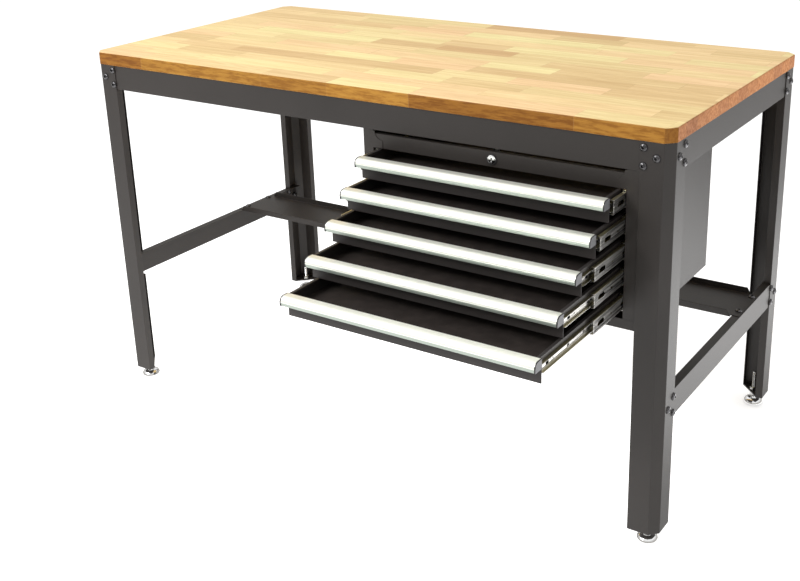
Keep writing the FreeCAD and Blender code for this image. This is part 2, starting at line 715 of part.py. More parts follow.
def both_ways(points):
    """Corners of a section that is the same above and below its middle."""
    lower = [(u, "-(%s)" % v) for u, v in points]
    return lower + points[::-1]


def slide_pair(name, section, length, start, drawer, cages=()):
    """A slide member on each side of a drawer, drawn on the left and mirrored to the right.

    section holds corners from the middle of the web outward, u from the cabinet's wall, v up.
    cages holds the ball cages on its flanges: lower and upper v, distance behind its front end, length.
    """
    left = new_body(name + "_left")
    wall = "cab_mid - opening_width / 2"
    level = "%s - slide_drop" % drawer_top(drawer)
    corners = [("%s + %s" % (wall, u), "%s + %s" % (level, v)) for u, v in both_ways(section)]
    pad(left, outline(left, name + "_section", "XZ", start, corners), length)
    for index, (low, high, setback, run) in enumerate(cages):
        for sign in (-1, 1):
            u_low, u_high = wall + " + cage_start", wall + " + cage_start + cage_width"
            v_low, v_high = "%s + %d * (%s)" % (level, sign, low), "%s + %d * (%s)" % (level, sign, high)
            cage = box_corners(u_low, u_high, v_low, v_high)
            label = "%s_cage%d%d" % (name, index, sign + 1)
            pad(left, outline(left, label, "XZ", "%s + %s" % (start, setback), cage), run)
    return [left, mirrored(left, name + "_right", "cab_mid")]


def drawer_top(drawer):
    """Height of a drawer front's upper edge."""
    return "(opening_top - drawer_gap / 2 - %d * drawer_pitch)" % (drawer - 1)


def drawer_face(drawer):
    """Where a drawn drawer's front panel stands."""
    return "(cab_face - drawer%d_open)" % drawer


OUTER_SECTION = [("0", "slide_height / 2"), ("slide_reach", "slide_height / 2"),
                 ("slide_reach", "slide_height / 2 - slide_lip"),
                 ("slide_reach - slide_sheet", "slide_height / 2 - slide_lip"),
                 ("slide_reach - slide_sheet", "slide_height / 2 - slide_sheet"),
                 ("slide_sheet", "slide_height / 2 - slide_sheet")]
MID_SECTION = [("mid_web", "mid_height / 2"), ("mid_reach", "mid_height / 2"),
               ("mid_reach", "mid_height / 2 - mid_sheet"),
               ("mid_web + mid_sheet", "mid_height / 2 - mid_sheet")]
INNER_SECTION = [("slide_depth", "inner_height / 2"), ("inner_start", "inner_height / 2"),
                 ("inner_start", "inner_height / 2 - inner_sheet"),
                 ("slide_depth - inner_sheet", "inner_height / 2 - inner_sheet")]
MID_CAGES = [("mid_height / 2", "rear_cage_top", "rear_cage_start", "rear_cage_length"),
             ("mid_height / 2 - mid_sheet", "front_cage_bottom", "front_cage_start", "front_cage_length")]


def make_tray(drawer):
    """Folded tray with hemmed sides, closed by a back and by a front panel a little wider than it."""
    name = "tray_%d" % drawer
    body = new_body(name)
    low, high = "tray_lift - panel_height", "0"
    wall, hem = "tray_half - tray_sheet", "tray_half - hem_width"
    right = [("tray_half", low), ("tray_half", high), (hem, high), (hem, "-hem_drop"),
             (hem + " + tray_sheet", "-hem_drop"), (hem + " + tray_sheet", "-tray_sheet"),
             (wall, "-tray_sheet"), (wall, low + " + tray_sheet")]
    left = [("-(%s)" % x, z) for x, z in right[::-1]]
    pad(body, outline(body, name + "_section", "XZ", "panel_sheet", right + left), "tray_depth")
    back = box_corners("-tray_half", "tray_half", low, "-hem_drop")
    rear = "panel_sheet + tray_depth - tray_sheet"
    pad(body, outline(body, name + "_back", "XZ", rear, back), "tray_sheet")
    front = box_corners("-panel_half", "panel_half", "-panel_height", high)
    pad(body, outline(body, name + "_front", "XZ", "0", front), "panel_sheet")
    return place(body, "cab_mid", drawer_face(drawer), drawer_top(drawer))


def make_liner(drawer):
    """Mat on the tray's floor."""
    name = "liner_%d" % drawer
    body = new_body(name)
    half = "tray_half - tray_sheet - liner_gap"
    plan = box_corners("-(%s)" % half, half, "panel_sheet + liner_gap",
                       "panel_sheet + tray_depth - tray_sheet - liner_gap")
    floor = "tray_lift - panel_height + tray_sheet"
    pad(body, outline(body, name + "_plan", "XY", floor, plan), "liner_thickness")
    return place(body, "cab_mid", drawer_face(drawer), drawer_top(drawer))


PULL_SKIN = [("0", "0"), ("pull_round - pull_depth", "0"), ("-pull_depth", "-pull_round"),
             ("-pull_depth", "-pull_height")]


def make_pull(drawer):
    """Extruded pull: a leg on the panel, a rounded top and front, and a lip under the fingers."""
    name = "pull_%d" % drawer
    body = new_body(name)
    inside = [("pull_lip - pull_depth", "-pull_height"),
              ("pull_lip - pull_depth", "pull_wall - pull_height"),
              ("pull_wall - pull_depth", "pull_wall - pull_height"),
              ("pull_wall - pull_depth", "-pull_round"),
              ("pull_round - pull_depth", "-pull_wall"), ("-pull_wall", "-pull_wall"),
              ("-pull_wall", "-pull_back"), ("0", "-pull_back")]
    bends = {1: ("pull_round", 1), 7: ("pull_round - pull_wall", -1)}
    section = outline(body, name + "_section", "YZ", "cap_thickness - pull_half", PULL_SKIN + inside, bends)
    pad(body, section, "2 * (pull_half - cap_thickness)")
    return place(body, "cab_mid", drawer_face(drawer), drawer_top(drawer))


def make_caps(drawer):
    """Flat caps on the pull's two ends."""
    caps = []
    for index, level in enumerate(("-pull_half", "pull_half - cap_thickness")):
        body = new_body("pull_cap_%d_%d" % (drawer, index))
        sketch = outline(body, body.Name + "_section", "YZ", level, PULL_SKIN + [("0", "-pull_height")],
                         {1: ("pull_round", 1)})
        pad(body, sketch, "cap_thickness")
        caps.append(place(body, "cab_mid", drawer_face(drawer), drawer_top(drawer)))
    return group("pull_caps_%d" % drawer, caps)


def make_drawer(drawer):
    """Everything that slides with one drawer, and the slide members that run between it and the cabinet."""
    keep(make_tray(drawer))
    keep(make_liner(drawer))
    keep(make_pull(drawer))
    keep(make_caps(drawer))
    start = drawer_face(drawer) + " + panel_sheet + inner_setback"
    keep(group("slide_inner_%d" % drawer,
               slide_pair("slide_inner_%d" % drawer, INNER_SECTION, "inner_length", start, drawer)))
    start = "cab_face + slide_setback - min(drawer%d_open; mid_travel)" % drawer
    keep(group("slide_mid_%d" % drawer,
               slide_pair("slide_mid_%d" % drawer, MID_SECTION, "mid_length", start, drawer, MID_CAGES)))


def make_outer_slides():
    """The members of the slides that are fixed to the cabinet."""
    members = []
    for drawer in DRAWERS:
        members += slide_pair("slide_outer_%d" % drawer, OUTER_SECTION, "slide_length",
                              "cab_face + slide_setback", drawer)
    keep(group("slide_outer", members))


def build():
    make_worktop()
    for end, end_name in ((-1, "front"), (1, "rear")):
        for side, side_name in ((-1, "left"), (1, "right")):
            make_leg("leg_%s_%s" % (end_name, side_name), side, end)
            make_foot("foot_%s_%s" % (end_name, side_name), side, end)
        make_apron(end_name + "_apron", end)
    for side, side_name in ((-1, "left"), (1, "right")):
        make_side_rail("upper_side_rail_" + side_name, side, "top_bottom", "rail_bottom", "rail_flange", True)
        make_side_rail("lower_side_rail_" + side_name, side, "low_rail_top", "low_rail_bottom",
                       "low_rail_flange", False)
    make_shelf()
    make_bolts()
    make_foot_plates()
    make_cabinet()
    make_lock()
    make_outer_slides()
    for drawer in DRAWERS:
        make_drawer(drawer)


def write():
    """Writes every node, once nothing in the document has failed."""
    doc.recompute()
    failed = [o.Name for o in doc.Objects if "Invalid" in o.State or "Error" in o.State]
    failed += [n.Label for n in nodes if n.Shape.isNull() or not n.Shape.isValid()]
    if failed:
        raise RuntimeError("failed: " + ", ".join(failed))
    os.makedirs("parts", exist_ok=True)
    for node in nodes:
        node.Shape.exportStep("parts/%s.step" % node.Label)
    print("nodes", len(nodes))


build()
write()
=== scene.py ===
import math
from functools import partialmethod

import bpy
from bpy.props import FloatProperty, FloatVectorProperty, IntProperty, PointerProperty
from mathutils import Matrix, Vector


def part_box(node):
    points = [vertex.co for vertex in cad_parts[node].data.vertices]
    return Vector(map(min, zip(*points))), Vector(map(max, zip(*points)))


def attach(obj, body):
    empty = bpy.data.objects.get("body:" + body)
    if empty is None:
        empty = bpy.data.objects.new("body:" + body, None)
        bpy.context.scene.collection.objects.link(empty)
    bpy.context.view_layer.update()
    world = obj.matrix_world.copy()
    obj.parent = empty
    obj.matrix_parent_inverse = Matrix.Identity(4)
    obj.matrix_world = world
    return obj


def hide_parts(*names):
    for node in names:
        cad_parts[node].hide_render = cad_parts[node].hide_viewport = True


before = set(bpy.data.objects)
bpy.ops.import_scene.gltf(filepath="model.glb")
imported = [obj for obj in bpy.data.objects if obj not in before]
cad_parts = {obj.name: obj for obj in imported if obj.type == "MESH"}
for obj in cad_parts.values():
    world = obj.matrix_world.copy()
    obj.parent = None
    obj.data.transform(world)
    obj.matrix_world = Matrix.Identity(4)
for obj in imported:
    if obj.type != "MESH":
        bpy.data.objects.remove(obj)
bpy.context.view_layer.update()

bl_info = {
    "name": "Workbench Dresser",
    "version": (1, 0, 0),
    "blender": (4, 5, 0),
    "location": "View3D > Sidebar > Workbench",
    "description": "Dresses a steel workbench with a glued wooden top and drawers on slides",
    "category": "Add Mesh",
}

DRAWERS = (1, 2, 3, 4, 5)
LEGS = ("leg_front_left", "leg_front_right", "leg_rear_left", "leg_rear_right")
FEET = ("foot_front_left", "foot_front_right", "foot_rear_left", "foot_rear_right")
FOLDED_FRAME = LEGS + (
    "front_apron", "rear_apron", "upper_side_rail_left", "upper_side_rail_right",
    "lower_side_rail_left", "lower_side_rail_right", "lower_shelf",
)
CABINET = (
    "cabinet_side_left", "cabinet_side_right", "cabinet_base", "cabinet_back", "lock_panel", "rear_posts",
)

# Lengths are in metres. A turned profile is a row of (radius, height) along its axis.
HAIR = 1e-5  # points closer than this count as one
SQUARE = 0.9  # a face square to an axis has more than this of its normal along it

STAVE_ROWS = 13
STAVE_LENGTH = 0.26  # on average

# Bolts. The head stands on the sheet, and washer, nut and shank hang behind it.
BUTTON_HEAD = (
    (0.0080, 0.0), (0.0080, 0.0010), (0.0077, 0.0019), (0.0070, 0.0028), (0.0060, 0.0036), (0.0048, 0.0042),
    (0.0040, 0.0045),
)
SOCKET_RADIUS = 0.0033
SOCKET_DEPTH = 0.0040
WASHER = ((0.0078, -0.0016), (0.0080, -0.0014), (0.0080, -0.0002), (0.0078, 0.0))
NUT = ((0.0062, -0.0081), (0.0074, -0.0075), (0.0074, -0.0022), (0.0064, -0.0016))
SHANK = ((0.0036, -0.0100), (0.0040, -0.0096), (0.0040, -0.0080))
SHANK_SIDES = 16
SHELF_BOLTS = (0.758, 0.45, 0.02)  # their reach in x and y, and in z from the rail's top
SHELF_SPLIT = 0.33  # between the two bolts of an end

# Feet, from the floor up.
PAD_RIM = ((0.0246, 0.0), (0.0250, 0.0006), (0.0250, 0.0030))
DOME_NECK, DOME_REACH = 0.0090, 0.0160
DOME_FOOT, DOME_RISE = 0.0030, 0.0150
DOME_ANGLES = tuple(math.radians(9 * i) for i in range(1, 10))
PAD_TOP = ((0.0080, 0.0181), (0.0075, 0.0184))
STEM_FOOT, THREAD_START = 0.0170, 0.0190
THREAD_CORE, THREAD_CREST, THREAD_TIP = 0.0044, 0.0050, 0.0038
THREAD_STOP = 0.0010  # the thread ends this far below the stem's top
TIP_GAP = 0.0002
STEM_SIDES = 24
FOOT_HEXAGON = ((0.0084, 0.0257), (0.0098, 0.0264), (0.0098, 0.0330), (0.0084, 0.0337))
EXTRA_SIDES = 16  # on the large turned pieces

# Slides. A slot is (distance behind the front end, length, height), a pressing is rows of (inset, rise).
INNER_SLOTS = (
    (0.024, 0.0120, 0.0060), (0.038, 0.0016, 0.0080), (0.046, 0.0050, 0.0030), (0.104, 0.0100, 0.0050),
    (0.168, 0.0090, 0.0050), (0.232, 0.0090, 0.0050), (0.296, 0.0090, 0.0050),
)
INNER_BEAD = ((0.0022, 0), (0.0008, -0.0007), (0.0016, 0), (0.0008, 0.0007))
INNER_WEB = 0.0122  # from the outer member's back to the web
INNER_LIP = 0.0040  # the web is further than this from the pair's sides
INNER_ROUND = 0.0002
MIDDLE_SLOTS = (
    (0.033, 0.0280, 0.0100), (0.078, 0.0050, 0.0050), (0.128, 0.0110, 0.0050), (0.192, 0.0110, 0.0050),
    (0.256, 0.0250, 0.0080),
)
MIDDLE_PRESSING = ((0.0034, 0), (0.0026, -0.0009))
MIDDLE_SHEET = 0.0010
MIDDLE_BEND = 0.0140  # the bends are further than this from the middle
MIDDLE_ROUND = 0.0017
SLOT_REACH = 0.0015  # a cutter goes so far to either side of the sheet
SLOT_ROUND = 0.48  # rounding of the corners, as a share of the short side

# Lock. Heights are from its front face.
BEZEL = ((0.0110, -0.0030), (0.0115, -0.0026), (0.0115, -0.0009), (0.0110, -0.0002), (0.0101, 0.0))
BEZEL_BORE = 0.0097
BARREL_TAIL = ((0.0088, 0.0), (0.0090, 0.0003))  # from the housing's rear end
BARREL_FRONT = (
    (0.0090, -0.0030), (0.0097, -0.0030), (0.0097, -0.0010), (0.0090, -0.0003), (0.0078, -0.0003),
    (0.0073, -0.0008),
)
BARREL_BORE = 0.0072
DRILL_LENGTH = 0.1
PLUG_ROUND = 0.0003

# Stage. A lamp is (name, place, target, size, the setting that holds its power).
LAMPS = (
    ("softbox_key", (-1.5, -2.6, 2.9), (0.2, -0.1, 0.6), (2.4, 1.7), "key"),
    ("lamp_spark", (-0.7, -2.9, 2.7), (0.5, -0.2, 0.7), (0.4, 0.4), "spark"),
)
SKY_STOPS = ((0.25, (0.64, 0.62, 0.585, 1)), (0.7, (1.35, 1.35, 1.35, 1)))  # by height of the direction
FLOOR_DROP = 0.0002  # below the feet
SENSOR = 36.0  # millimetres
CLIP_END = 200.0


class BenchSizes(bpy.types.PropertyGroup):
    """Sizes of the details that dress the bench."""

    corner_clip: FloatProperty(
        name="Corner clip", description="How far the worktop's corners are cut back",
        default=0.019, unit="LENGTH")
    top_round: FloatProperty(
        name="Top edge", description="Rounding of the worktop's upper edge", default=0.003, unit="LENGTH")
    fold_round: FloatProperty(
        name="Fold", description="Rounding of the frame's folded edges", default=0.0009, unit="LENGTH")
    thin_round: FloatProperty(
        name="Thin fold", description="Rounding of drawer and cabinet sheet edges",
        default=0.0004, unit="LENGTH")
    bolt_near: FloatProperty(
        name="Near bolt", description="Middle bolt's distance from the leg's corner",
        default=0.032, unit="LENGTH")
    bolt_far: FloatProperty(
        name="Far bolts", description="Outer bolts' distance from the leg's corner",
        default=0.058, unit="LENGTH")
    bolt_pitch: FloatProperty(
        name="Bolt pitch", description="Height from a corner's middle bolt to its outer ones",
        default=0.018, unit="LENGTH")
    sheet_pair: FloatProperty(
        name="Sheet pair", description="Leg and rail together, between a bolt's head and nut",
        default=0.004, unit="LENGTH")
    thread_pitch: FloatProperty(
        name="Thread", description="Pitch of the feet's thread", default=0.0015, unit="LENGTH")
    pull_round: FloatProperty(
        name="Pull rounding", description="Radius of the pull's rounded front", default=0.0122, unit="LENGTH")
    pull_taper: FloatProperty(
        name="Pull taper", description="How far the pull's front leans back",
        default=0.002, unit="LENGTH")
    pull_wall: FloatProperty(
        name="Pull wall", description="Wall of the extruded pull", default=0.0016, unit="LENGTH")
    pull_lip: FloatProperty(
        name="Pull lip", description="Lip under the pull's front", default=0.0035, unit="LENGTH")
    pull_open: FloatProperty(
        name="Pull opening", description="How far the pull's rear leg stops above its lower edge",
        default=0.0075, unit="LENGTH")
    turned_sides: IntProperty(
        name="Turned sides", description="Sides of a turned piece", default=32, min=12)


class BenchFinishes(bpy.types.PropertyGroup):
    """Colours of the bench, linear."""

    wood_pale: FloatVectorProperty(
        name="Pale wood", description="Lightest staves", subtype="COLOR", default=(0.78, 0.68, 0.33))
    wood_warm: FloatVectorProperty(
        name="Warm wood", description="Most of the staves", subtype="COLOR", default=(0.78, 0.60, 0.30))
    wood_deep: FloatVectorProperty(
        name="Deep wood", description="Darkest staves", subtype="COLOR", default=(0.54, 0.33, 0.145))
    edge_pale: FloatVectorProperty(
        name="Pale edge", description="Lightest staves along the oiled long edges", subtype="COLOR",
        default=(0.41, 0.205, 0.034))
    edge_deep: FloatVectorProperty(
        name="Deep edge", description="Darkest staves along the oiled long edges", subtype="COLOR",
        default=(0.19, 0.062, 0.006))
    end_pale: FloatVectorProperty(
        name="Pale end grain", description="Lightest staves at the ends", subtype="COLOR",
        default=(0.52, 0.24, 0.10))
    end_deep: FloatVectorProperty(
        name="Deep end grain", description="Darkest staves at the ends", subtype="COLOR",
        default=(0.32, 0.135, 0.062))
    coat: FloatVectorProperty(
        name="Powder coat", description="Charcoal coat of the frame", subtype="COLOR",
        default=(0.024, 0.0205, 0.0185))
    drawer: FloatVectorProperty(
        name="Drawer coat", description="Charcoal coat of the drawers", subtype="COLOR",
        default=(0.026, 0.0225, 0.0215))
    rubber: FloatVectorProperty(
        name="Liner", description="Mats in the drawers", subtype="COLOR", default=(0.025, 0.0205, 0.0185))
    aluminium: FloatVectorProperty(
        name="Pull", description="Satin aluminium of the pulls", subtype="COLOR", default=(0.82, 0.83, 0.755))
    # Painted shade: a darker aluminium for the pulls' faces that lean in and down, standing for the dim
    # reflection there.
    pull_under: FloatVectorProperty(
        name="Pull underside", description="Aluminium where the pull leans in", subtype="COLOR",
        default=(0.32, 0.36, 0.32))
    cap: FloatVectorProperty(
        name="Pull cap", description="Grey faces of the pulls' end caps", subtype="COLOR",
        default=(0.105, 0.105, 0.112))
    # Painted shade: the dark of the caps' rims stands for the shadow gap around them; it also colours the lock's
    # bezel.
    painted_rim_shade_and_bezel: FloatVectorProperty(
        name="Cap rim", description="Cap rims and the lock's bezel", subtype="COLOR",
        default=(0.016, 0.015, 0.015))
    zinc: FloatVectorProperty(
        name="Zinc", description="Zinc plating of the slides", subtype="COLOR", default=(0.60, 0.59, 0.565))
    grease: FloatVectorProperty(
        name="Grease", description="Film of grease in the slides' races", subtype="COLOR",
        default=(0.60, 0.53, 0.26))
    chrome: FloatVectorProperty(
        name="Chrome", description="Feet and lock", subtype="COLOR", default=(0.80, 0.80, 0.80))
    bolt: FloatVectorProperty(
        name="Bolts", description="Blackened bolts", subtype="COLOR", default=(0.075, 0.073, 0.076))
    floor: FloatVectorProperty(
        name="Floor", description="Pale studio floor", subtype="COLOR", default=(0.93, 0.93, 0.93))


class BenchStage(bpy.types.PropertyGroup):
    """Camera and light."""

    lens: FloatProperty(name="Lens", description="Focal length on a 36 mm sensor", default=51.807)
    shift_x: FloatProperty(name="Shift across", description="Camera shift across the picture", default=-0.0499)
    shift_y: FloatProperty(name="Shift up", description="Camera shift up the picture", default=-0.10706)
    place: FloatVectorProperty(
        name="Camera", description="Where the camera stands", subtype="TRANSLATION",
        default=(1.49987, -2.09719, 1.46651))
    right: FloatVectorProperty(
        name="Picture right", description="Direction to the right in the picture", subtype="DIRECTION",
        default=(0.8399187, 0.5421981, -0.0236159))
    ahead: FloatVectorProperty(
        name="Ahead", description="Direction that the camera looks", subtype="DIRECTION",
        default=(-0.5182743, 0.7884273, -0.3313218))
    floor_size: FloatProperty(name="Floor", description="Side of the floor", default=80.0, unit="LENGTH")
    key: FloatProperty(name="Key", description="Power of the softbox at the front left", default=90.0)
    spark: FloatProperty(name="Spark", description="Power of the lamp that glints on bolts", default=35.0)
    sky: FloatProperty(name="Room", description="Strength of the pale room", default=0.85)
    floor_glow: FloatProperty(
        name="Floor glow", description="Light of the floor's own", default=0.40)
    back_glow: FloatProperty(name="Back glow", description="More of it behind the right end", default=2.7)
    under_glow: FloatProperty(name="Under glow", description="More of it under the bench", default=0.8)


def leave_edit():
    bpy.ops.object.mode_set(mode="OBJECT")


def edit_all():
    """Goes into edit mode with the whole mesh selected."""
    bpy.ops.object.mode_set(mode="EDIT")
    bpy.ops.mesh.select_all(action="SELECT")


def deselect():
    """Leaves edit mode with nothing selected."""
    if bpy.context.object and bpy.context.object.mode != "OBJECT":
        leave_edit()
    bpy.ops.object.select_all(action="DESELECT")


def activate(piece):
    deselect()
    piece.select_set(True)
    bpy.context.view_layer.objects.active = piece
    return piece


def settle(piece):
    """Puts a piece's place into its mesh, so that its object sits at the origin."""
    activate(piece)
    bpy.ops.object.transform_apply(location=True, rotation=True, scale=True)
    return piece


def smooth(piece, degrees=40):
    activate(piece)
    bpy.ops.object.shade_smooth_by_angle(angle=math.radians(degrees))
    return piece


def face_outward():
    """Turns all faces outward and leaves edit mode."""
    bpy.ops.mesh.select_all(action="SELECT")
    bpy.ops.mesh.normals_make_consistent(inside=False)
    leave_edit()


def block(name, low, high):
    """A box between two corners."""
    deselect()
    low, high = Vector(low), Vector(high)
    bpy.ops.mesh.primitive_cube_add(size=1, location=(low + high) / 2)
    piece = bpy.context.object
    piece.name = name
    piece.scale = high - low
    return settle(piece)


def turned(name, rings, sides):
    """A turned solid: a disc extruded and scaled from one (radius, height) to the next."""
    deselect()
    radius, height = rings[0]
    bpy.ops.mesh.primitive_circle_add(vertices=sides, radius=radius, fill_type="NGON", location=(0, 0, height))
    piece = bpy.context.object
    piece.name = name
    edit_all()
    for (was, low), (now, high) in zip(rings, rings[1:]):
        bpy.ops.mesh.extrude_region_move(TRANSFORM_OT_translate={"value": (0, 0, high - low)})
        bpy.ops.transform.resize(value=(now / was, now / was, 1), center_override=(0, 0, high))
    face_outward()
    return settle(piece)


def start_picking(piece, kind):
    """Clears a piece's selection of edges or faces, and ends in object mode."""
    activate(piece)
    bpy.ops.object.mode_set(mode="EDIT")
    bpy.ops.mesh.select_mode(type=kind)
    bpy.ops.mesh.select_all(action="DESELECT")
    leave_edit()


def pick_edges(piece, chosen):
    """Goes into edit mode with the edges selected whose two ends chosen accepts."""
    start_picking(piece, "EDGE")
    corners = piece.data.vertices
    for edge in piece.data.edges:
        edge.select = bool(chosen(corners[edge.vertices[0]].co, corners[edge.vertices[1]].co))
    bpy.ops.object.mode_set(mode="EDIT")


def pick_faces(piece, chosen):
    """Goes into edit mode with the faces selected whose centre and normal chosen accepts."""
    start_picking(piece, "FACE")
    for face in piece.data.polygons:
        face.select = bool(chosen(face.center, face.normal))
    bpy.ops.object.mode_set(mode="EDIT")


def bevel_edges(piece, chosen, width, segments):
    """Bevels the edges whose two ends chosen accepts."""
    pick_edges(piece, chosen)
    bpy.ops.mesh.bevel(offset=width, segments=segments, affect="EDGES")
    leave_edit()


def press_faces(piece, chosen, pressing):
    """Insets the faces that chosen accepts, each by itself, by rows of (inset, rise)."""
    pick_faces(piece, chosen)
    for width, rise in pressing:
        bpy.ops.mesh.inset(thickness=width, depth=rise, use_individual=True)
    leave_edit()


def apply_modifier(piece, kind, **settings):
    """Adds a modifier with its settings and applies it."""
    activate(piece)
    bpy.ops.object.modifier_add(type=kind)
    modifier = piece.modifiers[-1]
    for key, value in settings.items():
        setattr(modifier, key, value)
    bpy.ops.object.modifier_apply(modifier=modifier.name)
    return piece


def round_edges(piece, width, segments=2, degrees=30):
    """Rounds every edge sharper than an angle, with flat faces kept flat in the shading."""
    apply_modifier(piece, "BEVEL", width=width, segments=segments, limit_method="ANGLE",
                   angle_limit=math.radians(degrees), use_clamp_overlap=True, harden_normals=False)
    smooth(piece)
    return apply_modifier(piece, "WEIGHTED_NORMAL", keep_sharp=True)


def copy_at(piece, name, placement):
    """A copy with a mesh of its own, moved by a matrix."""
    activate(piece)
    bpy.ops.object.duplicate()
    copy = bpy.context.object
    copy.name = name
    copy.data.transform(placement)
    return copy


def join(name, pieces):
    """Several meshes as one piece."""
    deselect()
    for piece in pieces:
        piece.select_set(True)
    bpy.context.view_layer.objects.active = pieces[0]
    bpy.ops.object.join()
    whole = bpy.context.object
    whole.name = name
    return whole


def remove(piece):
    activate(piece)
    bpy.ops.object.delete()


def cut_away(piece, cutter):
    """Cuts a piece by another, which is used up."""
    apply_modifier(piece, "BOOLEAN", operation="DIFFERENCE", object=cutter)
    remove(cutter)
    return piece


def copy_of_node(node, name):
    """A copy of a node, corners merged and flat faces whole, ready to be worked on."""
    activate(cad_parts[node])
    bpy.ops.object.duplicate()
    piece = bpy.context.object
    piece.name = name
    for key in list(piece.keys()):
        del piece[key]
    if piece.data.has_custom_normals:
        bpy.ops.mesh.customdata_custom_splitnormals_clear()
    edit_all()
    bpy.ops.mesh.remove_doubles(threshold=HAIR)
    bpy.ops.mesh.dissolve_limited(angle_limit=math.radians(1))
    leave_edit()
    return piece


def dress(piece, finish, slot, body, *nodes):
    """Gives a piece its finish, the body that it rides on and the nodes that it stands for."""
    piece.data.materials.clear()
    piece.data.materials.append(finish)
    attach(piece, body)
    if nodes:
        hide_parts(*nodes)
    return piece


def paint_node(node, finish):
    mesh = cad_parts[node].data
    mesh.materials.clear()
    mesh.materials.append(finish)


class Finish:
    """One procedural material, built up node by node."""

    def __init__(self, name):
        self.material = bpy.data.materials.new(name)
        self.material.use_nodes = True
        self.tree = self.material.node_tree
        self.shader = self.tree.nodes["Principled BSDF"]
        coordinates = self.add("ShaderNodeTexCoord")
        self.place = coordinates.outputs["Object"]
        self.normal = coordinates.outputs["Normal"]

    def feed(self, socket, value):
        if isinstance(value, bpy.types.NodeSocket):
            self.tree.links.new(value, socket)
        else:
            socket.default_value = value

    def add(self, kind, inputs=None, **settings):
        node = self.tree.nodes.new(kind)
        for key, value in settings.items():
            setattr(node, key, value)
        for key, value in (inputs or {}).items():
            self.feed(node.inputs[key], value)
        return node

    def math(self, operation, first, second=0.0):
        return self.add("ShaderNodeMath", {0: first, 1: second}, operation=operation).outputs[0]

    plus = partialmethod(math, "ADD")
    minus = partialmethod(math, "SUBTRACT")
    times = partialmethod(math, "MULTIPLY")
    unsigned = partialmethod(math, "ABSOLUTE")

    def vector(self, operation, first, second):
        return self.add("ShaderNodeVectorMath", {0: first, 1: second}, operation=operation).outputs[0]

    def split(self, vector):
        return self.add("ShaderNodeSeparateXYZ", {0: vector}).outputs

    def chance(self, kind, socket, value):
        return self.add("ShaderNodeTexWhiteNoise", {socket: value}, noise_dimensions=kind).outputs

    def noise(self, stretch, detail=3.0, roughness=0.5, at=None, distortion=0.0):
        """Noise with one frequency, or one of its own along each axis, per metre."""
        if isinstance(stretch, float):
            stretch = (stretch, stretch, stretch)
        spread = self.vector("MULTIPLY", at or self.place, stretch)
        return self.add("ShaderNodeTexNoise", {
            "Vector": spread, "Scale": 1.0, "Detail": detail, "Roughness": roughness, "Distortion": distortion,
        }).outputs["Fac"]

    def span(self, value, low, high, to_low=0.0, to_high=1.0):
        """Maps a range of a value onto another, held at its ends."""
        return self.add("ShaderNodeMapRange", {
            "Value": value, "From Min": low, "From Max": high, "To Min": to_low, "To Max": to_high,
        }).outputs["Result"]

    def ramp(self, value, *stops):
        node = self.add("ShaderNodeValToRGB", {"Fac": value})
        stretches = node.color_ramp.elements
        while len(stretches) < len(stops):
            stretches.new(0.5)
        for stretch, (position, colour) in zip(stretches, stops):
            stretch.position = position
            stretch.color = (*colour, 1)
        return node.outputs["Color"]

    def mix(self, factor, first, second, blend="MIX"):
        node = self.add("ShaderNodeMix", {0: factor}, data_type="RGBA", blend_type=blend)
        for index, colour in ((6, first), (7, second)):
            self.feed(node.inputs[index], (*colour, 1) if isinstance(colour, tuple) else colour)
        return node.outputs[2]

    def cover(self, base, over, mask, weight):
        return self.mix(self.times(mask, weight), base, over)

    def stain(self, base, colour):
        return self.mix(1.0, base, colour, "MULTIPLY")

    def bump(self, height, strength, distance):
        node = self.add("ShaderNodeBump", {"Height": height, "Strength": strength, "Distance": distance})
        self.tree.links.new(node.outputs["Normal"], self.shader.inputs["Normal"])

    def use(self, **sockets):
        """Sets or links the shader's own sockets, named with underscores."""
        for key, value in sockets.items():
            self.feed(self.shader.inputs[key.replace("_", " ")], value)
        return self.material


def scaled(colour, factor):
    return tuple(min(part * factor, 1.0) for part in colour)


def between(first, second, share):
    return tuple(a + (b - a) * share for a, b in zip(first, second))


def stave_grid(f):
    """The top in rows of uneven staves: both counts, a stave's chance and its own place in the wood."""
    x, y, _ = f.split(f.place)
    front, back = (corner.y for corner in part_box("worktop"))
    rows = f.math("DIVIDE", f.minus(y, front - HAIR), (back - front + HAIR) / STAVE_ROWS)
    row = f.math("FLOOR", rows)
    row_luck = f.chance("1D", "W", row)["Value"]
    run = f.plus(f.math("DIVIDE", x, STAVE_LENGTH), f.times(row_luck, 17.3))
    sway = f.math("SINE", f.plus(f.times(run, 2.1), f.times(row_luck, 40.0)))
    run = f.plus(run, f.times(sway, 0.24))
    stave = f.add("ShaderNodeCombineXYZ", {0: row, 1: f.math("FLOOR", run), 2: 3.0}).outputs[0]
    chance = f.chance("3D", "Vector", stave)
    own = f.vector("ADD", f.place, f.vector("MULTIPLY", chance["Color"], (3.0, 3.0, 3.0)))
    return rows, run, chance["Value"], own


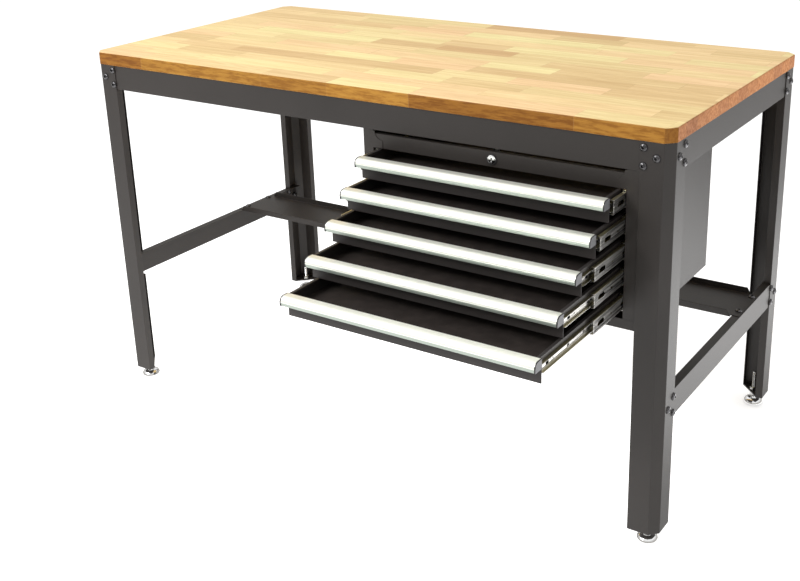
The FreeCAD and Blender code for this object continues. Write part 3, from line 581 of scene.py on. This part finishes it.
def stave_tones(f, colours, luck, on_end, on_edge, on_corner):
    """Each stave's own tone: pale on the top, oiled and deeper on the edges, pinker on the end grain."""
    pale, warm, deep = tuple(colours.wood_pale), tuple(colours.wood_warm), tuple(colours.wood_deep)
    edge_pale, edge_deep = tuple(colours.edge_pale), tuple(colours.edge_deep)
    end_pale, end_deep = tuple(colours.end_pale), tuple(colours.end_deep)
    tan = between(warm, deep, 0.45)
    pink = (warm[0], warm[1] * 0.90, warm[2] * 0.96)
    top = f.ramp(luck, (0.0, pale), (0.18, warm), (0.38, pink), (0.56, warm), (0.74, tan),
                 (0.84, between(pale, warm, 0.4)), (1.0, between(warm, deep, 0.8)))
    edge = f.ramp(luck, (0.0, edge_pale), (0.3, between(edge_pale, edge_deep, 0.7)),
                  (0.55, scaled(edge_pale, 0.85)), (0.8, between(edge_pale, edge_deep, 0.3)), (1.0, edge_pale))
    end = f.ramp(luck, (0.0, end_pale), (0.45, between(end_pale, end_deep, 0.5)), (0.7, end_pale),
                 (1.0, end_deep))
    tone = f.mix(on_end, f.mix(on_edge, top, edge), end)
    return f.mix(on_corner, tone, between(edge_pale, edge_deep, 0.65))


def glued_wood(colours):
    """Short staves glued side by side: each its own tone, with streaked grain, rings and pores."""
    f = Finish("glued_hardwood")
    rows, run, luck, own = stave_grid(f)
    endwise, edgewise = (f.unsigned(part) for part in f.split(f.normal)[:2])
    on_end, on_edge = f.span(endwise, 0.5, 0.8), f.span(edgewise, 0.5, 0.8)
    on_corner = f.span(f.times(endwise, edgewise), 0.30, 0.45)
    tone = stave_tones(f, colours, luck, on_end, on_edge, on_corner)
    streaks = f.noise((5.0, 95.0, 95.0), detail=5.0, roughness=0.6, at=own, distortion=0.3)
    bands = f.noise((1.6, 26.0, 26.0), detail=2.0, at=own, distortion=0.7)
    rings = f.plus(f.times(f.math("SINE", f.times(bands, 42.0)), 0.5), 0.5)
    pores = f.span(f.noise((42.0, 900.0, 900.0), detail=2.0, roughness=0.6, at=own), 0.58, 0.74)
    flecks = f.noise((24.0, 200.0, 170.0), detail=4.0, roughness=0.7)
    saw_marks = f.times(f.math("MAXIMUM", on_end, on_edge), f.span(flecks, 0.44, 0.60))
    dark = f.stain(tone, (0.62, 0.52, 0.42))
    shade = f.cover(tone, dark, f.span(streaks, 0.35, 0.75), weight=0.45)
    shade = f.cover(shade, dark, rings, weight=0.22)
    shade = f.cover(shade, f.stain(dark, (0.55, 0.5, 0.45)), pores, weight=0.35)
    shade = f.cover(shade, f.stain(dark, (0.85, 0.80, 0.70)), saw_marks, weight=0.8)
    across, along = (f.unsigned(f.minus(f.math("FRACT", count), 0.5)) for count in (rows, run))
    seams = f.times(f.span(across, 0.490, 0.499), f.minus(1.0, on_edge))
    butts = f.times(f.span(along, 0.4975, 0.4995), f.minus(1.0, on_end))
    joint = f.math("MAXIMUM", seams, butts)
    shade = f.cover(shade, scaled(tuple(colours.wood_deep), 0.6), joint, weight=0.40)
    f.bump(f.minus(f.times(streaks, 0.3), f.plus(f.times(pores, 0.6), joint)), strength=0.25, distance=0.0003)
    roughness = f.plus(f.span(streaks, 0.3, 0.8, 0.38, 0.54), f.times(on_end, 0.25))
    return f.use(Base_Color=shade, Roughness=roughness, Specular_IOR_Level=0.16)


def powder_coat(name, colour, grain):
    """Baked powder coat: a fine orange-peel skin with a slow drift of tone."""
    f = Finish(name)
    drift = f.noise(3.0)
    specks = f.noise(2600.0, detail=2.0, roughness=0.6)
    colour = tuple(colour)
    tone = f.mix(f.span(drift, 0.3, 0.7), scaled(colour, 0.86), scaled(colour, 1.14))
    tone = f.cover(tone, scaled(colour, 1.7), f.span(specks, 0.52, 0.70), weight=0.30)
    f.bump(f.noise(1500.0, roughness=0.6), strength=grain, distance=0.00025)
    return f.use(Base_Color=tone, Roughness=f.span(specks, 0.3, 0.7, 0.40, 0.52), Specular_IOR_Level=0.30)


def ribbed_rubber(colours):
    """Drawer mat with fine ribs from side to side."""
    f = Finish("ribbed_rubber")
    rib_pitch = 0.004
    ribs = f.math("SINE", f.times(f.split(f.place)[1], 2 * math.pi / rib_pitch))
    dust = f.noise(40.0, detail=4.0, roughness=0.6)
    colour = tuple(colours.rubber)
    tone = f.mix(f.span(dust, 0.4, 0.75), colour, scaled(colour, 1.6))
    f.bump(f.plus(f.times(ribs, 0.5), f.noise(900.0)), strength=0.35, distance=0.0004)
    return f.use(Base_Color=tone, Roughness=f.span(dust, 0.2, 0.8, 0.62, 0.8), Specular_IOR_Level=0.1)


def drawn_metal(name, colour, stretch, polish, dulling, tint, metal=1.0, under=None):
    """Bare metal with fine lines along the way that it was drawn, and painted shade where it leans in."""
    f = Finish(name)
    lines = f.noise(stretch, roughness=0.6)
    cloud = f.noise(14.0, detail=4.0, roughness=0.6)
    colour = tuple(colour)
    tone = f.cover(colour, scaled(colour, 0.82), f.span(lines, 0.35, 0.7), dulling)
    tone = f.cover(tone, tuple(a * b for a, b in zip(colour, tint)), f.span(cloud, 0.4, 0.75), dulling)
    # Painted shade: faces that lean in and down take the darker colour given as under.
    if under:
        lean = f.split(f.add("ShaderNodeNewGeometry").outputs["True Normal"])[2]
        painted_shade_mask = f.times(f.span(lean, -0.9, -0.6), f.span(lean, -0.25, -0.15, 1.0, 0.0))
        tone = f.mix(painted_shade_mask, tone, under)
    f.bump(lines, strength=0.06, distance=0.00015)
    return f.use(Base_Color=tone, Metallic=metal, Roughness=f.span(lines, 0.25, 0.75, *polish))


def zinc_plate(colours):
    """Bright zinc with rolling lines from front to back, and a film of grease on what faces up."""
    f = Finish("zinc_plate")
    lines = f.noise((250.0, 3.5, 250.0), detail=4.0, roughness=0.7)
    cloud = f.noise((30.0, 12.0, 30.0), detail=4.0, roughness=0.6)
    zinc, grease = tuple(colours.zinc), tuple(colours.grease)
    tone = f.mix(f.span(lines, 0.40, 0.56), scaled(zinc, 0.16), zinc)
    wet = f.times(f.span(f.split(f.normal)[2], 0.4, 0.8), f.span(cloud, 0.25, 0.6, 0.35, 0.85))
    f.bump(lines, strength=0.45, distance=0.0006)
    return f.use(Base_Color=f.mix(wet, tone, grease), Metallic=1.0,
                 Roughness=f.span(lines, 0.25, 0.75, 0.24, 0.42))


def black_oxide(colours):
    """Blackened screw steel."""
    f = Finish("black_oxide")
    cloud = f.noise(260.0, detail=4.0, roughness=0.6)
    colour = tuple(colours.bolt)
    tone = f.mix(f.span(cloud, 0.35, 0.7), scaled(colour, 0.7), scaled(colour, 1.5))
    f.bump(f.noise(2200.0), strength=0.10, distance=0.0001)
    return f.use(Base_Color=tone, Metallic=0.85, Roughness=f.span(cloud, 0.3, 0.7, 0.16, 0.28))


def moulded_plastic(colours):
    """Plastic with a fine spark texture, grey on the caps' end faces and dark everywhere else: painted shade of
    the gap around the caps, and the dark of the lock's bezel.
    """
    f = Finish("moulded_plastic")
    spark = f.noise(1400.0, detail=2.0, roughness=0.6)
    colour = tuple(colours.cap)
    face = f.mix(f.span(spark, 0.35, 0.7), scaled(colour, 0.88), scaled(colour, 1.15))
    # Painted shade: off the end faces the caps take the dark rim colour, for the shadow gap around them.
    on_face = f.span(f.unsigned(f.split(f.normal)[0]), 0.80, 0.95)
    f.bump(spark, strength=0.12, distance=0.0002)
    return f.use(Base_Color=f.mix(on_face, tuple(colours.painted_rim_shade_and_bezel), face),
                 Roughness=f.span(spark, 0.3, 0.7, 0.42, 0.55))


def pale_floor(colours):
    """Paper sweep that glows under and behind the bench, and dims far out to the front."""
    f = Finish("pale_floor")
    stage = bpy.context.scene.bench_stage
    cloud = f.noise(0.7)
    colour = tuple(colours.floor)
    x, y, _ = f.split(f.place)
    lit = f.span(y, -3.4, -1.0)
    near = f.times(lit, f.span(y, 1.4, 2.6, 1.0, 0.3))
    behind = f.times(f.span(y, -0.15, 0.35), f.span(y, 1.2, 2.4, 1.0, 0.0))
    behind = f.times(f.span(x, 0.80, 1.05), behind)
    below = f.times(f.span(f.unsigned(x), 0.55, 0.85, 1.0, 0.0), f.span(f.unsigned(y), 0.25, 0.55, 1.0, 0.0))
    glow = f.plus(f.times(near, stage.floor_glow), f.times(behind, stage.back_glow))
    glow = f.plus(glow, f.times(below, stage.under_glow))
    paper = f.mix(f.span(cloud, 0.3, 0.7), scaled(colour, 0.99), scaled(colour, 1.01))
    return f.use(Base_Color=f.mix(lit, scaled(colour, 0.50), paper), Roughness=0.9, Specular_IOR_Level=0.1,
                 Emission_Color=(1, 1, 1, 1), Emission_Strength=glow)


MAKERS = {
    "wood": glued_wood,
    "coat": lambda c: powder_coat("charcoal_powder_coat", c.coat, grain=0.22),
    "drawer": lambda c: powder_coat("dark_drawer_coat", c.drawer, grain=0.14),
    "rubber": ribbed_rubber,
    "pull": lambda c: drawn_metal(
        "satin_aluminium", c.aluminium, stretch=(4.0, 1300.0, 1300.0), polish=(0.28, 0.40), dulling=0.35,
        tint=(0.97, 0.98, 0.97), metal=0.6, under=tuple(c.pull_under)),
    "cap": moulded_plastic,
    "zinc": zinc_plate,
    "chrome": lambda c: drawn_metal(
        "polished_chrome", c.chrome, stretch=60.0, polish=(0.06, 0.14), dulling=0.5, tint=(0.94, 0.95, 0.97)),
    "bolt": black_oxide,
    "floor": pale_floor,
}
finishes_made = {}


def finish(key):
    """The finish of that name, made on first use."""
    if key not in finishes_made:
        finishes_made[key] = MAKERS[key](bpy.context.scene.bench_finishes)
    return finishes_made[key]


class WORKBENCH_OT_worktop(bpy.types.Operator):
    """Slab of glued staves with clipped corners and a rounded upper edge"""

    bl_idname = "workbench.worktop"
    bl_label = "Worktop"

    def execute(self, context):
        sizes = context.scene.bench_sizes
        low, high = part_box("worktop")
        slab = block("worktop_slab", low, high)
        bevel_edges(slab, lambda a, b: abs(a.z - b.z) > HAIR, sizes.corner_clip, segments=1)
        bevel_edges(slab, lambda a, b: min(a.z, b.z) > high.z - HAIR, sizes.top_round, segments=4)
        bevel_edges(slab, lambda a, b: max(a.z, b.z) < low.z + HAIR, sizes.top_round / 3, segments=2)
        smooth(slab, degrees=35)
        apply_modifier(slab, "WEIGHTED_NORMAL", keep_sharp=True)
        dress(slab, finish("wood"), "wood", "bench", "worktop")
        return {"FINISHED"}


class WORKBENCH_OT_frame(bpy.types.Operator):
    """Legs, rails, shelf and cabinet of folded sheet, their folds rounded"""

    bl_idname = "workbench.frame"
    bl_label = "Folded frame"

    def execute(self, context):
        sizes = context.scene.bench_sizes
        for nodes, width in ((FOLDED_FRAME, sizes.fold_round), (CABINET, sizes.thin_round)):
            for node in nodes:
                sheet = round_edges(copy_of_node(node, node + "_folded"), width)
                dress(sheet, finish("coat"), "frame_steel", "bench", node)
        paint_node("foot_plates", finish("coat"))
        paint_node("foot_nuts", finish("zinc"))
        return {"FINISHED"}


def leg_corners():
    """Each leg's outer corner, with the signs of its side and of its end."""
    for leg in LEGS:
        low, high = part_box(leg)
        side = 1 if low.x > 0 else -1
        end = 1 if "rear" in leg else -1
        yield Vector((high.x if side > 0 else low.x, high.y if end > 0 else low.y, 0)), side, end


def rail_bolts(sizes):
    """Places and outward directions of the bolts that hold the rails to the legs."""
    far, near, pitch = sizes.bolt_far, sizes.bolt_near, sizes.bolt_pitch
    cluster = ((far, -pitch), (far, pitch), (near, 0))
    heights = [sum(c.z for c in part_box(rail)) / 2 for rail in ("upper_side_rail_left", "lower_side_rail_left")]
    for corner, side, end in leg_corners():
        for inward, rise in cluster:
            yield Vector((corner.x - side * inward, corner.y, heights[0] + rise)), Vector((0, end, 0))
            for height in heights:
                yield Vector((corner.x, corner.y - end * inward, height + rise)), Vector((side, 0, 0))


def shelf_bolts():
    """Places and directions of the shelf's bolts, read from the solids."""
    shelf_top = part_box("lower_side_rail_left")[1].z
    seats = {}
    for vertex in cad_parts["frame_bolts"].data.vertices:
        x, y, z = vertex.co
        if all(abs(part) < reach for part, reach in zip((x, y, z - shelf_top), SHELF_BOLTS)):
            seats.setdefault((x > 0, y > SHELF_SPLIT), []).append(vertex.co)
    for corners in seats.values():
        low = Vector(min(c[i] for c in corners) for i in range(3))
        high = Vector(max(c[i] for c in corners) for i in range(3))
        yield Vector(((low.x + high.x) / 2, (low.y + high.y) / 2, low.z)), Vector((0, 0, 1))


def facing(point, axis):
    """The matrix that stands a piece made upright at the origin on a point, facing along an axis."""
    return Matrix.Translation(point) @ axis.to_track_quat("Z", "Y").to_matrix().to_4x4()


class WORKBENCH_OT_bolts(bpy.types.Operator):
    """Button-head bolts with a hexagon socket, and their washers and nuts behind the sheet"""

    bl_idname = "workbench.bolts"
    bl_label = "Bolts and nuts"

    def button_head(self, sides):
        head = turned("button_head", BUTTON_HEAD, sides)
        top = BUTTON_HEAD[-1][1]
        deselect()
        bpy.ops.mesh.primitive_cylinder_add(
            vertices=6, radius=SOCKET_RADIUS, depth=2 * SOCKET_DEPTH, location=(0, 0, top))
        return smooth(cut_away(head, settle(bpy.context.object)), degrees=35)

    def nut_and_washer(self, sides):
        parts = [turned("washer", WASHER, sides), turned("nut", NUT, 6), turned("shank", SHANK, SHANK_SIDES)]
        return smooth(join("nut_set", parts), degrees=30)

    def execute(self, context):
        sizes = context.scene.bench_sizes
        head = self.button_head(sizes.turned_sides)
        nut = self.nut_and_washer(sizes.turned_sides)
        spots = list(rail_bolts(sizes))
        nuts = [copy_at(nut, "nut_copy", facing(p - a * sizes.sheet_pair, a)) for p, a in spots]
        spots += shelf_bolts()
        heads = [copy_at(head, "head_copy", facing(p, a)) for p, a in spots]
        remove(head)
        remove(nut)
        dress(join("bolt_heads", heads), finish("bolt"), "bolt_black", "bench", "frame_bolts")
        dress(join("bolt_nuts", nuts), finish("bolt"), "bolt_black", "bench")
        return {"FINISHED"}


class WORKBENCH_OT_feet(bpy.types.Operator):
    """Screw feet: a polished dome, a threaded stem and a hexagon"""

    bl_idname = "workbench.feet"
    bl_label = "Screw feet"

    def thread(self, top, pitch):
        """The stem's profile: core and crest by turns, and a narrower tip."""
        rings = [(THREAD_CORE, STEM_FOOT)]
        height = THREAD_START
        while height + pitch < top - THREAD_STOP:
            rings += [(THREAD_CORE, height), (THREAD_CREST, height + pitch * 0.5)]
            height += pitch
        return rings + [(THREAD_CORE, height), (THREAD_TIP, top - TIP_GAP)]

    def execute(self, context):
        sizes = context.scene.bench_sizes
        dome = [(DOME_NECK + DOME_REACH * math.cos(a), DOME_FOOT + DOME_RISE * math.sin(a))
                for a in DOME_ANGLES]
        pad = (*PAD_RIM, *dome, *PAD_TOP)
        stem = self.thread(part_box(FEET[0])[1].z, sizes.thread_pitch)
        patterns = [
            smooth(turned("foot_dome", pad, sizes.turned_sides + EXTRA_SIDES), degrees=35),
            smooth(turned("foot_stem", stem, STEM_SIDES), degrees=20),
            smooth(turned("foot_hexagon", FOOT_HEXAGON, 6), degrees=20),
        ]
        for foot in FEET:
            low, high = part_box(foot)
            move = Matrix.Translation(((low.x + high.x) / 2, (low.y + high.y) / 2, 0))
            parts = [copy_at(pattern, foot + "_part", move) for pattern in patterns]
            dress(join(foot + "_turned", parts), finish("chrome"), "foot_chrome", foot, foot)
        for pattern in patterns:
            remove(pattern)
        return {"FINISHED"}


class WORKBENCH_OT_trays(bpy.types.Operator):
    """Drawer trays and the mats in them"""

    bl_idname = "workbench.trays"
    bl_label = "Trays and mats"

    def execute(self, context):
        sizes = context.scene.bench_sizes
        for i in DRAWERS:
            tray = round_edges(copy_of_node("tray_%d" % i, "tray_%d_folded" % i), sizes.thin_round)
            dress(tray, finish("drawer"), "drawer_steel", "drawer_%d" % i, "tray_%d" % i)
            paint_node("liner_%d" % i, finish("rubber"))
        return {"FINISHED"}


class WORKBENCH_OT_pulls(bpy.types.Operator):
    """Extruded pulls with a rounded front, and their end caps"""

    bl_idname = "workbench.pulls"
    bl_label = "Pulls"

    def rounded_block(self, name, low, high, radius):
        """A box whose upper front edge is rounded."""
        piece = block(name, low, high)
        bevel_edges(piece, lambda a, b: max(a.y, b.y) < low.y + HAIR and min(a.z, b.z) > high.z - HAIR,
                    radius, segments=12)
        return piece

    def extrusion(self, low, high, sizes):
        """A sheet over the top, front and rear of a rounded block, lipped in front and thickened."""
        pull = self.rounded_block("pull_extrusion", low, high, sizes.pull_round)
        pick_faces(pull, lambda centre, normal: abs(normal.x) > SQUARE or normal.z < -SQUARE)
        bpy.ops.mesh.delete(type="FACE")
        leave_edit()
        pick_edges(pull, lambda a, b: max(a.y, b.y) < low.y + HAIR and max(a.z, b.z) < low.z + HAIR)
        bpy.ops.transform.translate(value=(0, sizes.pull_taper, 0))
        bpy.ops.mesh.extrude_edges_move(TRANSFORM_OT_translate={"value": (0, sizes.pull_lip, 0)})
        leave_edit()
        pick_edges(pull, lambda a, b: min(a.y, b.y) > high.y - HAIR and max(a.z, b.z) < low.z + HAIR)
        bpy.ops.transform.translate(value=(0, 0, sizes.pull_open))
        face_outward()
        apply_modifier(pull, "SOLIDIFY", thickness=sizes.pull_wall, offset=-1.0, use_even_offset=True)
        return smooth(pull, degrees=35)

    def end_caps(self, low, high, sizes):
        """Both caps, from a pull's ends to their own box."""
        cap_low, cap_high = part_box("pull_caps_1")
        inner_left = Vector((low.x, cap_high.y, cap_high.z))
        inner_right = Vector((high.x, cap_low.y, cap_low.z))
        left = self.rounded_block("cap_left", cap_low, inner_left, sizes.pull_round)
        right = self.rounded_block("cap_right", inner_right, cap_high, sizes.pull_round)
        return round_edges(join("pull_caps", [left, right]), sizes.thin_round, degrees=40)

    def execute(self, context):
        sizes = context.scene.bench_sizes
        low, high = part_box("pull_1")
        pull = self.extrusion(low, high, sizes)
        caps = self.end_caps(low, high, sizes)
        for i in DRAWERS:
            move = Matrix.Translation(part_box("pull_%d" % i)[0] - low)
            dress(copy_at(pull, "pull_%d_extruded" % i, move), finish("pull"), "pull_aluminium",
                  "drawer_%d" % i, "pull_%d" % i)
            dress(copy_at(caps, "pull_caps_%d_moulded" % i, move), finish("cap"), "cap_plastic",
                  "drawer_%d" % i, "pull_caps_%d" % i)
        remove(pull)
        remove(caps)
        return {"FINISHED"}


class WORKBENCH_OT_slides(bpy.types.Operator):
    """Ball-bearing slides of zinc-plated sheet with pressed webs and slots through them"""

    bl_idname = "workbench.slides"
    bl_label = "Slides"

    def slots(self, x_places, front, height, cuts):
        """One cutter for the oval slots in the sheets at some places across."""
        cutters = []
        for x in x_places:
            for place, length, tall in cuts:
                centre = Vector((x, front + place, height))
                reach = Vector((SLOT_REACH, length / 2, tall / 2))
                cutter = block("slot_cutter", centre - reach, centre + reach)
                width = min(length, tall) * SLOT_ROUND
                bevel_edges(cutter, lambda a, b: abs(a.x - b.x) > HAIR, width, segments=4)
                cutters.append(cutter)
        return join("slot_cutters", cutters)

    def inner_member(self, node, name):
        """The pair fixed to a tray: a bead pressed into each web, and slots."""
        low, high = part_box(node)
        centre_x, middle = (low.x + high.x) / 2, (low.z + high.z) / 2
        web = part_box("slide_outer")[0].x + INNER_WEB - low.x
        piece = copy_of_node(node, name)
        press_faces(
            piece, lambda centre, normal: abs(normal.x) > SQUARE
            and low.x + INNER_LIP < centre.x < high.x - INNER_LIP and (normal.x > 0) == (centre.x > centre_x),
            INNER_BEAD)
        cut_away(piece, self.slots((low.x + web, high.x - web), low.y, middle, INNER_SLOTS))
        return round_edges(piece, INNER_ROUND, segments=1, degrees=40)

    def middle_member(self, node, name):
        """The pair that runs between cabinet and tray: pressed outer webs, slots and rounded bends."""
        low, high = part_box(node)
        middle, half_sheet = (low.z + high.z) / 2, MIDDLE_SHEET / 2
        piece = copy_of_node(node, name)
        press_faces(
            piece, lambda centre, normal: abs(normal.x) > SQUARE
            and not low.x + HAIR < centre.x < high.x - HAIR,
            MIDDLE_PRESSING)
        cut_away(piece, self.slots((low.x + half_sheet, high.x - half_sheet), low.y, middle, MIDDLE_SLOTS))
        bevel_edges(
            piece, lambda a, b: abs(a.x - b.x) < HAIR and not low.x + HAIR < a.x < high.x - HAIR
            and abs(a.z - b.z) < HAIR and abs(a.z - middle) > MIDDLE_BEND,
            MIDDLE_ROUND, segments=3)
        return smooth(piece, degrees=35)

    def execute(self, context):
        paint_node("slide_outer", finish("zinc"))
        for i in DRAWERS:
            inner, mid = "slide_inner_%d" % i, "slide_mid_%d" % i
            dress(self.inner_member(inner, inner + "_slotted"), finish("zinc"), "zinc_steel",
                  "drawer_%d" % i, inner)
            dress(self.middle_member(mid, mid + "_slotted"), finish("zinc"), "zinc_steel", "slide_%d" % i, mid)
        return {"FINISHED"}


class WORKBENCH_OT_lock(bpy.types.Operator):
    """Chrome cylinder lock in a dark bezel"""

    bl_idname = "workbench.lock"
    bl_label = "Lock"

    def sleeve(self, name, rings, bore, sides, placement):
        """A turned ring, bored through and put in its place."""
        deselect()
        bpy.ops.mesh.primitive_cylinder_add(vertices=sides, radius=bore, depth=DRILL_LENGTH)
        drill = settle(bpy.context.object)
        ring = smooth(cut_away(turned(name, rings, sides), drill), degrees=25)
        ring.data.transform(placement)
        return ring

    def execute(self, context):
        sides = context.scene.bench_sizes.turned_sides + EXTRA_SIDES
        low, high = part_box("lock_housing")
        stand = facing(Vector(((low.x + high.x) / 2, low.y, (low.z + high.z) / 2)), Vector((0, -1, 0)))
        tail = [(radius, low.y - high.y + rise) for radius, rise in BARREL_TAIL]
        bezel = self.sleeve("lock_bezel", BEZEL, BEZEL_BORE, sides, stand)
        barrel = self.sleeve("lock_barrel", (*tail, *BARREL_FRONT), BARREL_BORE, sides, stand)
        dress(bezel, finish("cap"), "cap_plastic", "bench", "lock_housing")
        dress(barrel, finish("chrome"), "lock_chrome", "bench")
        plug = round_edges(copy_of_node("lock_plug", "lock_plug_slotted"), PLUG_ROUND)
        dress(plug, finish("chrome"), "lock_chrome", "lock", "lock_plug")
        paint_node("lock_cam", finish("zinc"))
        return {"FINISHED"}


class WORKBENCH_OT_stage(bpy.types.Operator):
    """Pale floor, soft light and the camera"""

    bl_idname = "workbench.stage"
    bl_label = "Stage"

    def lay_floor(self, side):
        deselect()
        bpy.ops.mesh.primitive_plane_add(size=side, location=(0, 0, -FLOOR_DROP))
        floor = settle(bpy.context.object)
        floor.name = "studio_floor"
        floor.data.materials.append(finish("floor"))

    def light_room(self, scene, strength):
        """A pale room that is brighter overhead."""
        world = bpy.data.worlds.new("pale_room")
        scene.world = world
        world.use_nodes = True
        nodes, links = world.node_tree.nodes, world.node_tree.links
        direction = nodes.new("ShaderNodeTexCoord").outputs["Generated"]
        height = nodes.new("ShaderNodeSeparateXYZ")
        links.new(direction, height.inputs[0])
        shade = nodes.new("ShaderNodeValToRGB")
        links.new(height.outputs["Z"], shade.inputs["Fac"])
        for element, (position, colour) in zip(shade.color_ramp.elements, SKY_STOPS):
            element.position = position
            element.color = colour
        links.new(shade.outputs["Color"], nodes["Background"].inputs["Color"])
        nodes["Background"].inputs["Strength"].default_value = strength

    def add_lamp(self, name, place, target, size, power):
        deselect()
        bpy.ops.object.light_add(type="AREA", location=place)
        lamp = bpy.context.object
        lamp.name = name
        lamp.data.shape = "RECTANGLE"
        lamp.data.size, lamp.data.size_y = size
        lamp.data.energy = power
        lamp.rotation_euler = (Vector(target) - Vector(place)).to_track_quat("-Z", "Y").to_euler()

    def set_camera(self, scene, stage):
        deselect()
        bpy.ops.object.camera_add(location=stage.place)
        camera = bpy.context.object
        camera.name = "picture_camera"
        right, back = Vector(stage.right).normalized(), -Vector(stage.ahead).normalized()
        up = back.cross(right)
        camera.rotation_euler = Matrix((right, up, back)).transposed().to_euler()
        camera.data.sensor_width = SENSOR
        for key in ("lens", "shift_x", "shift_y"):
            setattr(camera.data, key, getattr(stage, key))
        camera.data.clip_end = CLIP_END
        scene.camera = camera

    def execute(self, context):
        stage = context.scene.bench_stage
        self.lay_floor(stage.floor_size)
        self.light_room(context.scene, stage.sky)
        for *lamp, power in LAMPS:
            self.add_lamp(*lamp, getattr(stage, power))
        self.set_camera(context.scene, stage)
        context.scene.view_settings.view_transform = "Standard"
        return {"FINISHED"}


PIECES = (
    WORKBENCH_OT_worktop, WORKBENCH_OT_frame, WORKBENCH_OT_bolts, WORKBENCH_OT_feet, WORKBENCH_OT_trays,
    WORKBENCH_OT_pulls, WORKBENCH_OT_slides, WORKBENCH_OT_lock, WORKBENCH_OT_stage,
)


class WORKBENCH_PT_dresser(bpy.types.Panel):
    """Sizes, finishes and pieces of the workbench"""

    bl_idname = "WORKBENCH_PT_dresser"
    bl_label = "Workbench"
    bl_space_type = "VIEW_3D"
    bl_region_type = "UI"
    bl_category = "Workbench"

    def draw(self, context):
        scene = context.scene
        for title, group in (("Sizes", scene.bench_sizes), ("Finishes", scene.bench_finishes),
                             ("Stage", scene.bench_stage)):
            box = self.layout.box()
            box.label(text=title)
            for key in group.__annotations__:
                box.prop(group, key)
        for piece in PIECES:
            self.layout.operator(piece.bl_idname)


GROUPS = {"bench_sizes": BenchSizes, "bench_finishes": BenchFinishes, "bench_stage": BenchStage}
CLASSES = tuple(GROUPS.values()) + PIECES + (WORKBENCH_PT_dresser,)


def register():
    for cls in CLASSES:
        bpy.utils.register_class(cls)
    for key, cls in GROUPS.items():
        setattr(bpy.types.Scene, key, PointerProperty(type=cls))


def unregister():
    for key in GROUPS:
        delattr(bpy.types.Scene, key)
    for cls in reversed(CLASSES):
        bpy.utils.unregister_class(cls)


def main():
    register()
    bpy.ops.workbench.worktop()
    bpy.ops.workbench.frame()
    bpy.ops.workbench.bolts()
    bpy.ops.workbench.feet()
    bpy.ops.workbench.trays()
    bpy.ops.workbench.pulls()
    bpy.ops.workbench.slides()
    bpy.ops.workbench.lock()
    bpy.ops.workbench.stage()


if __name__ == "__main__":
    main()
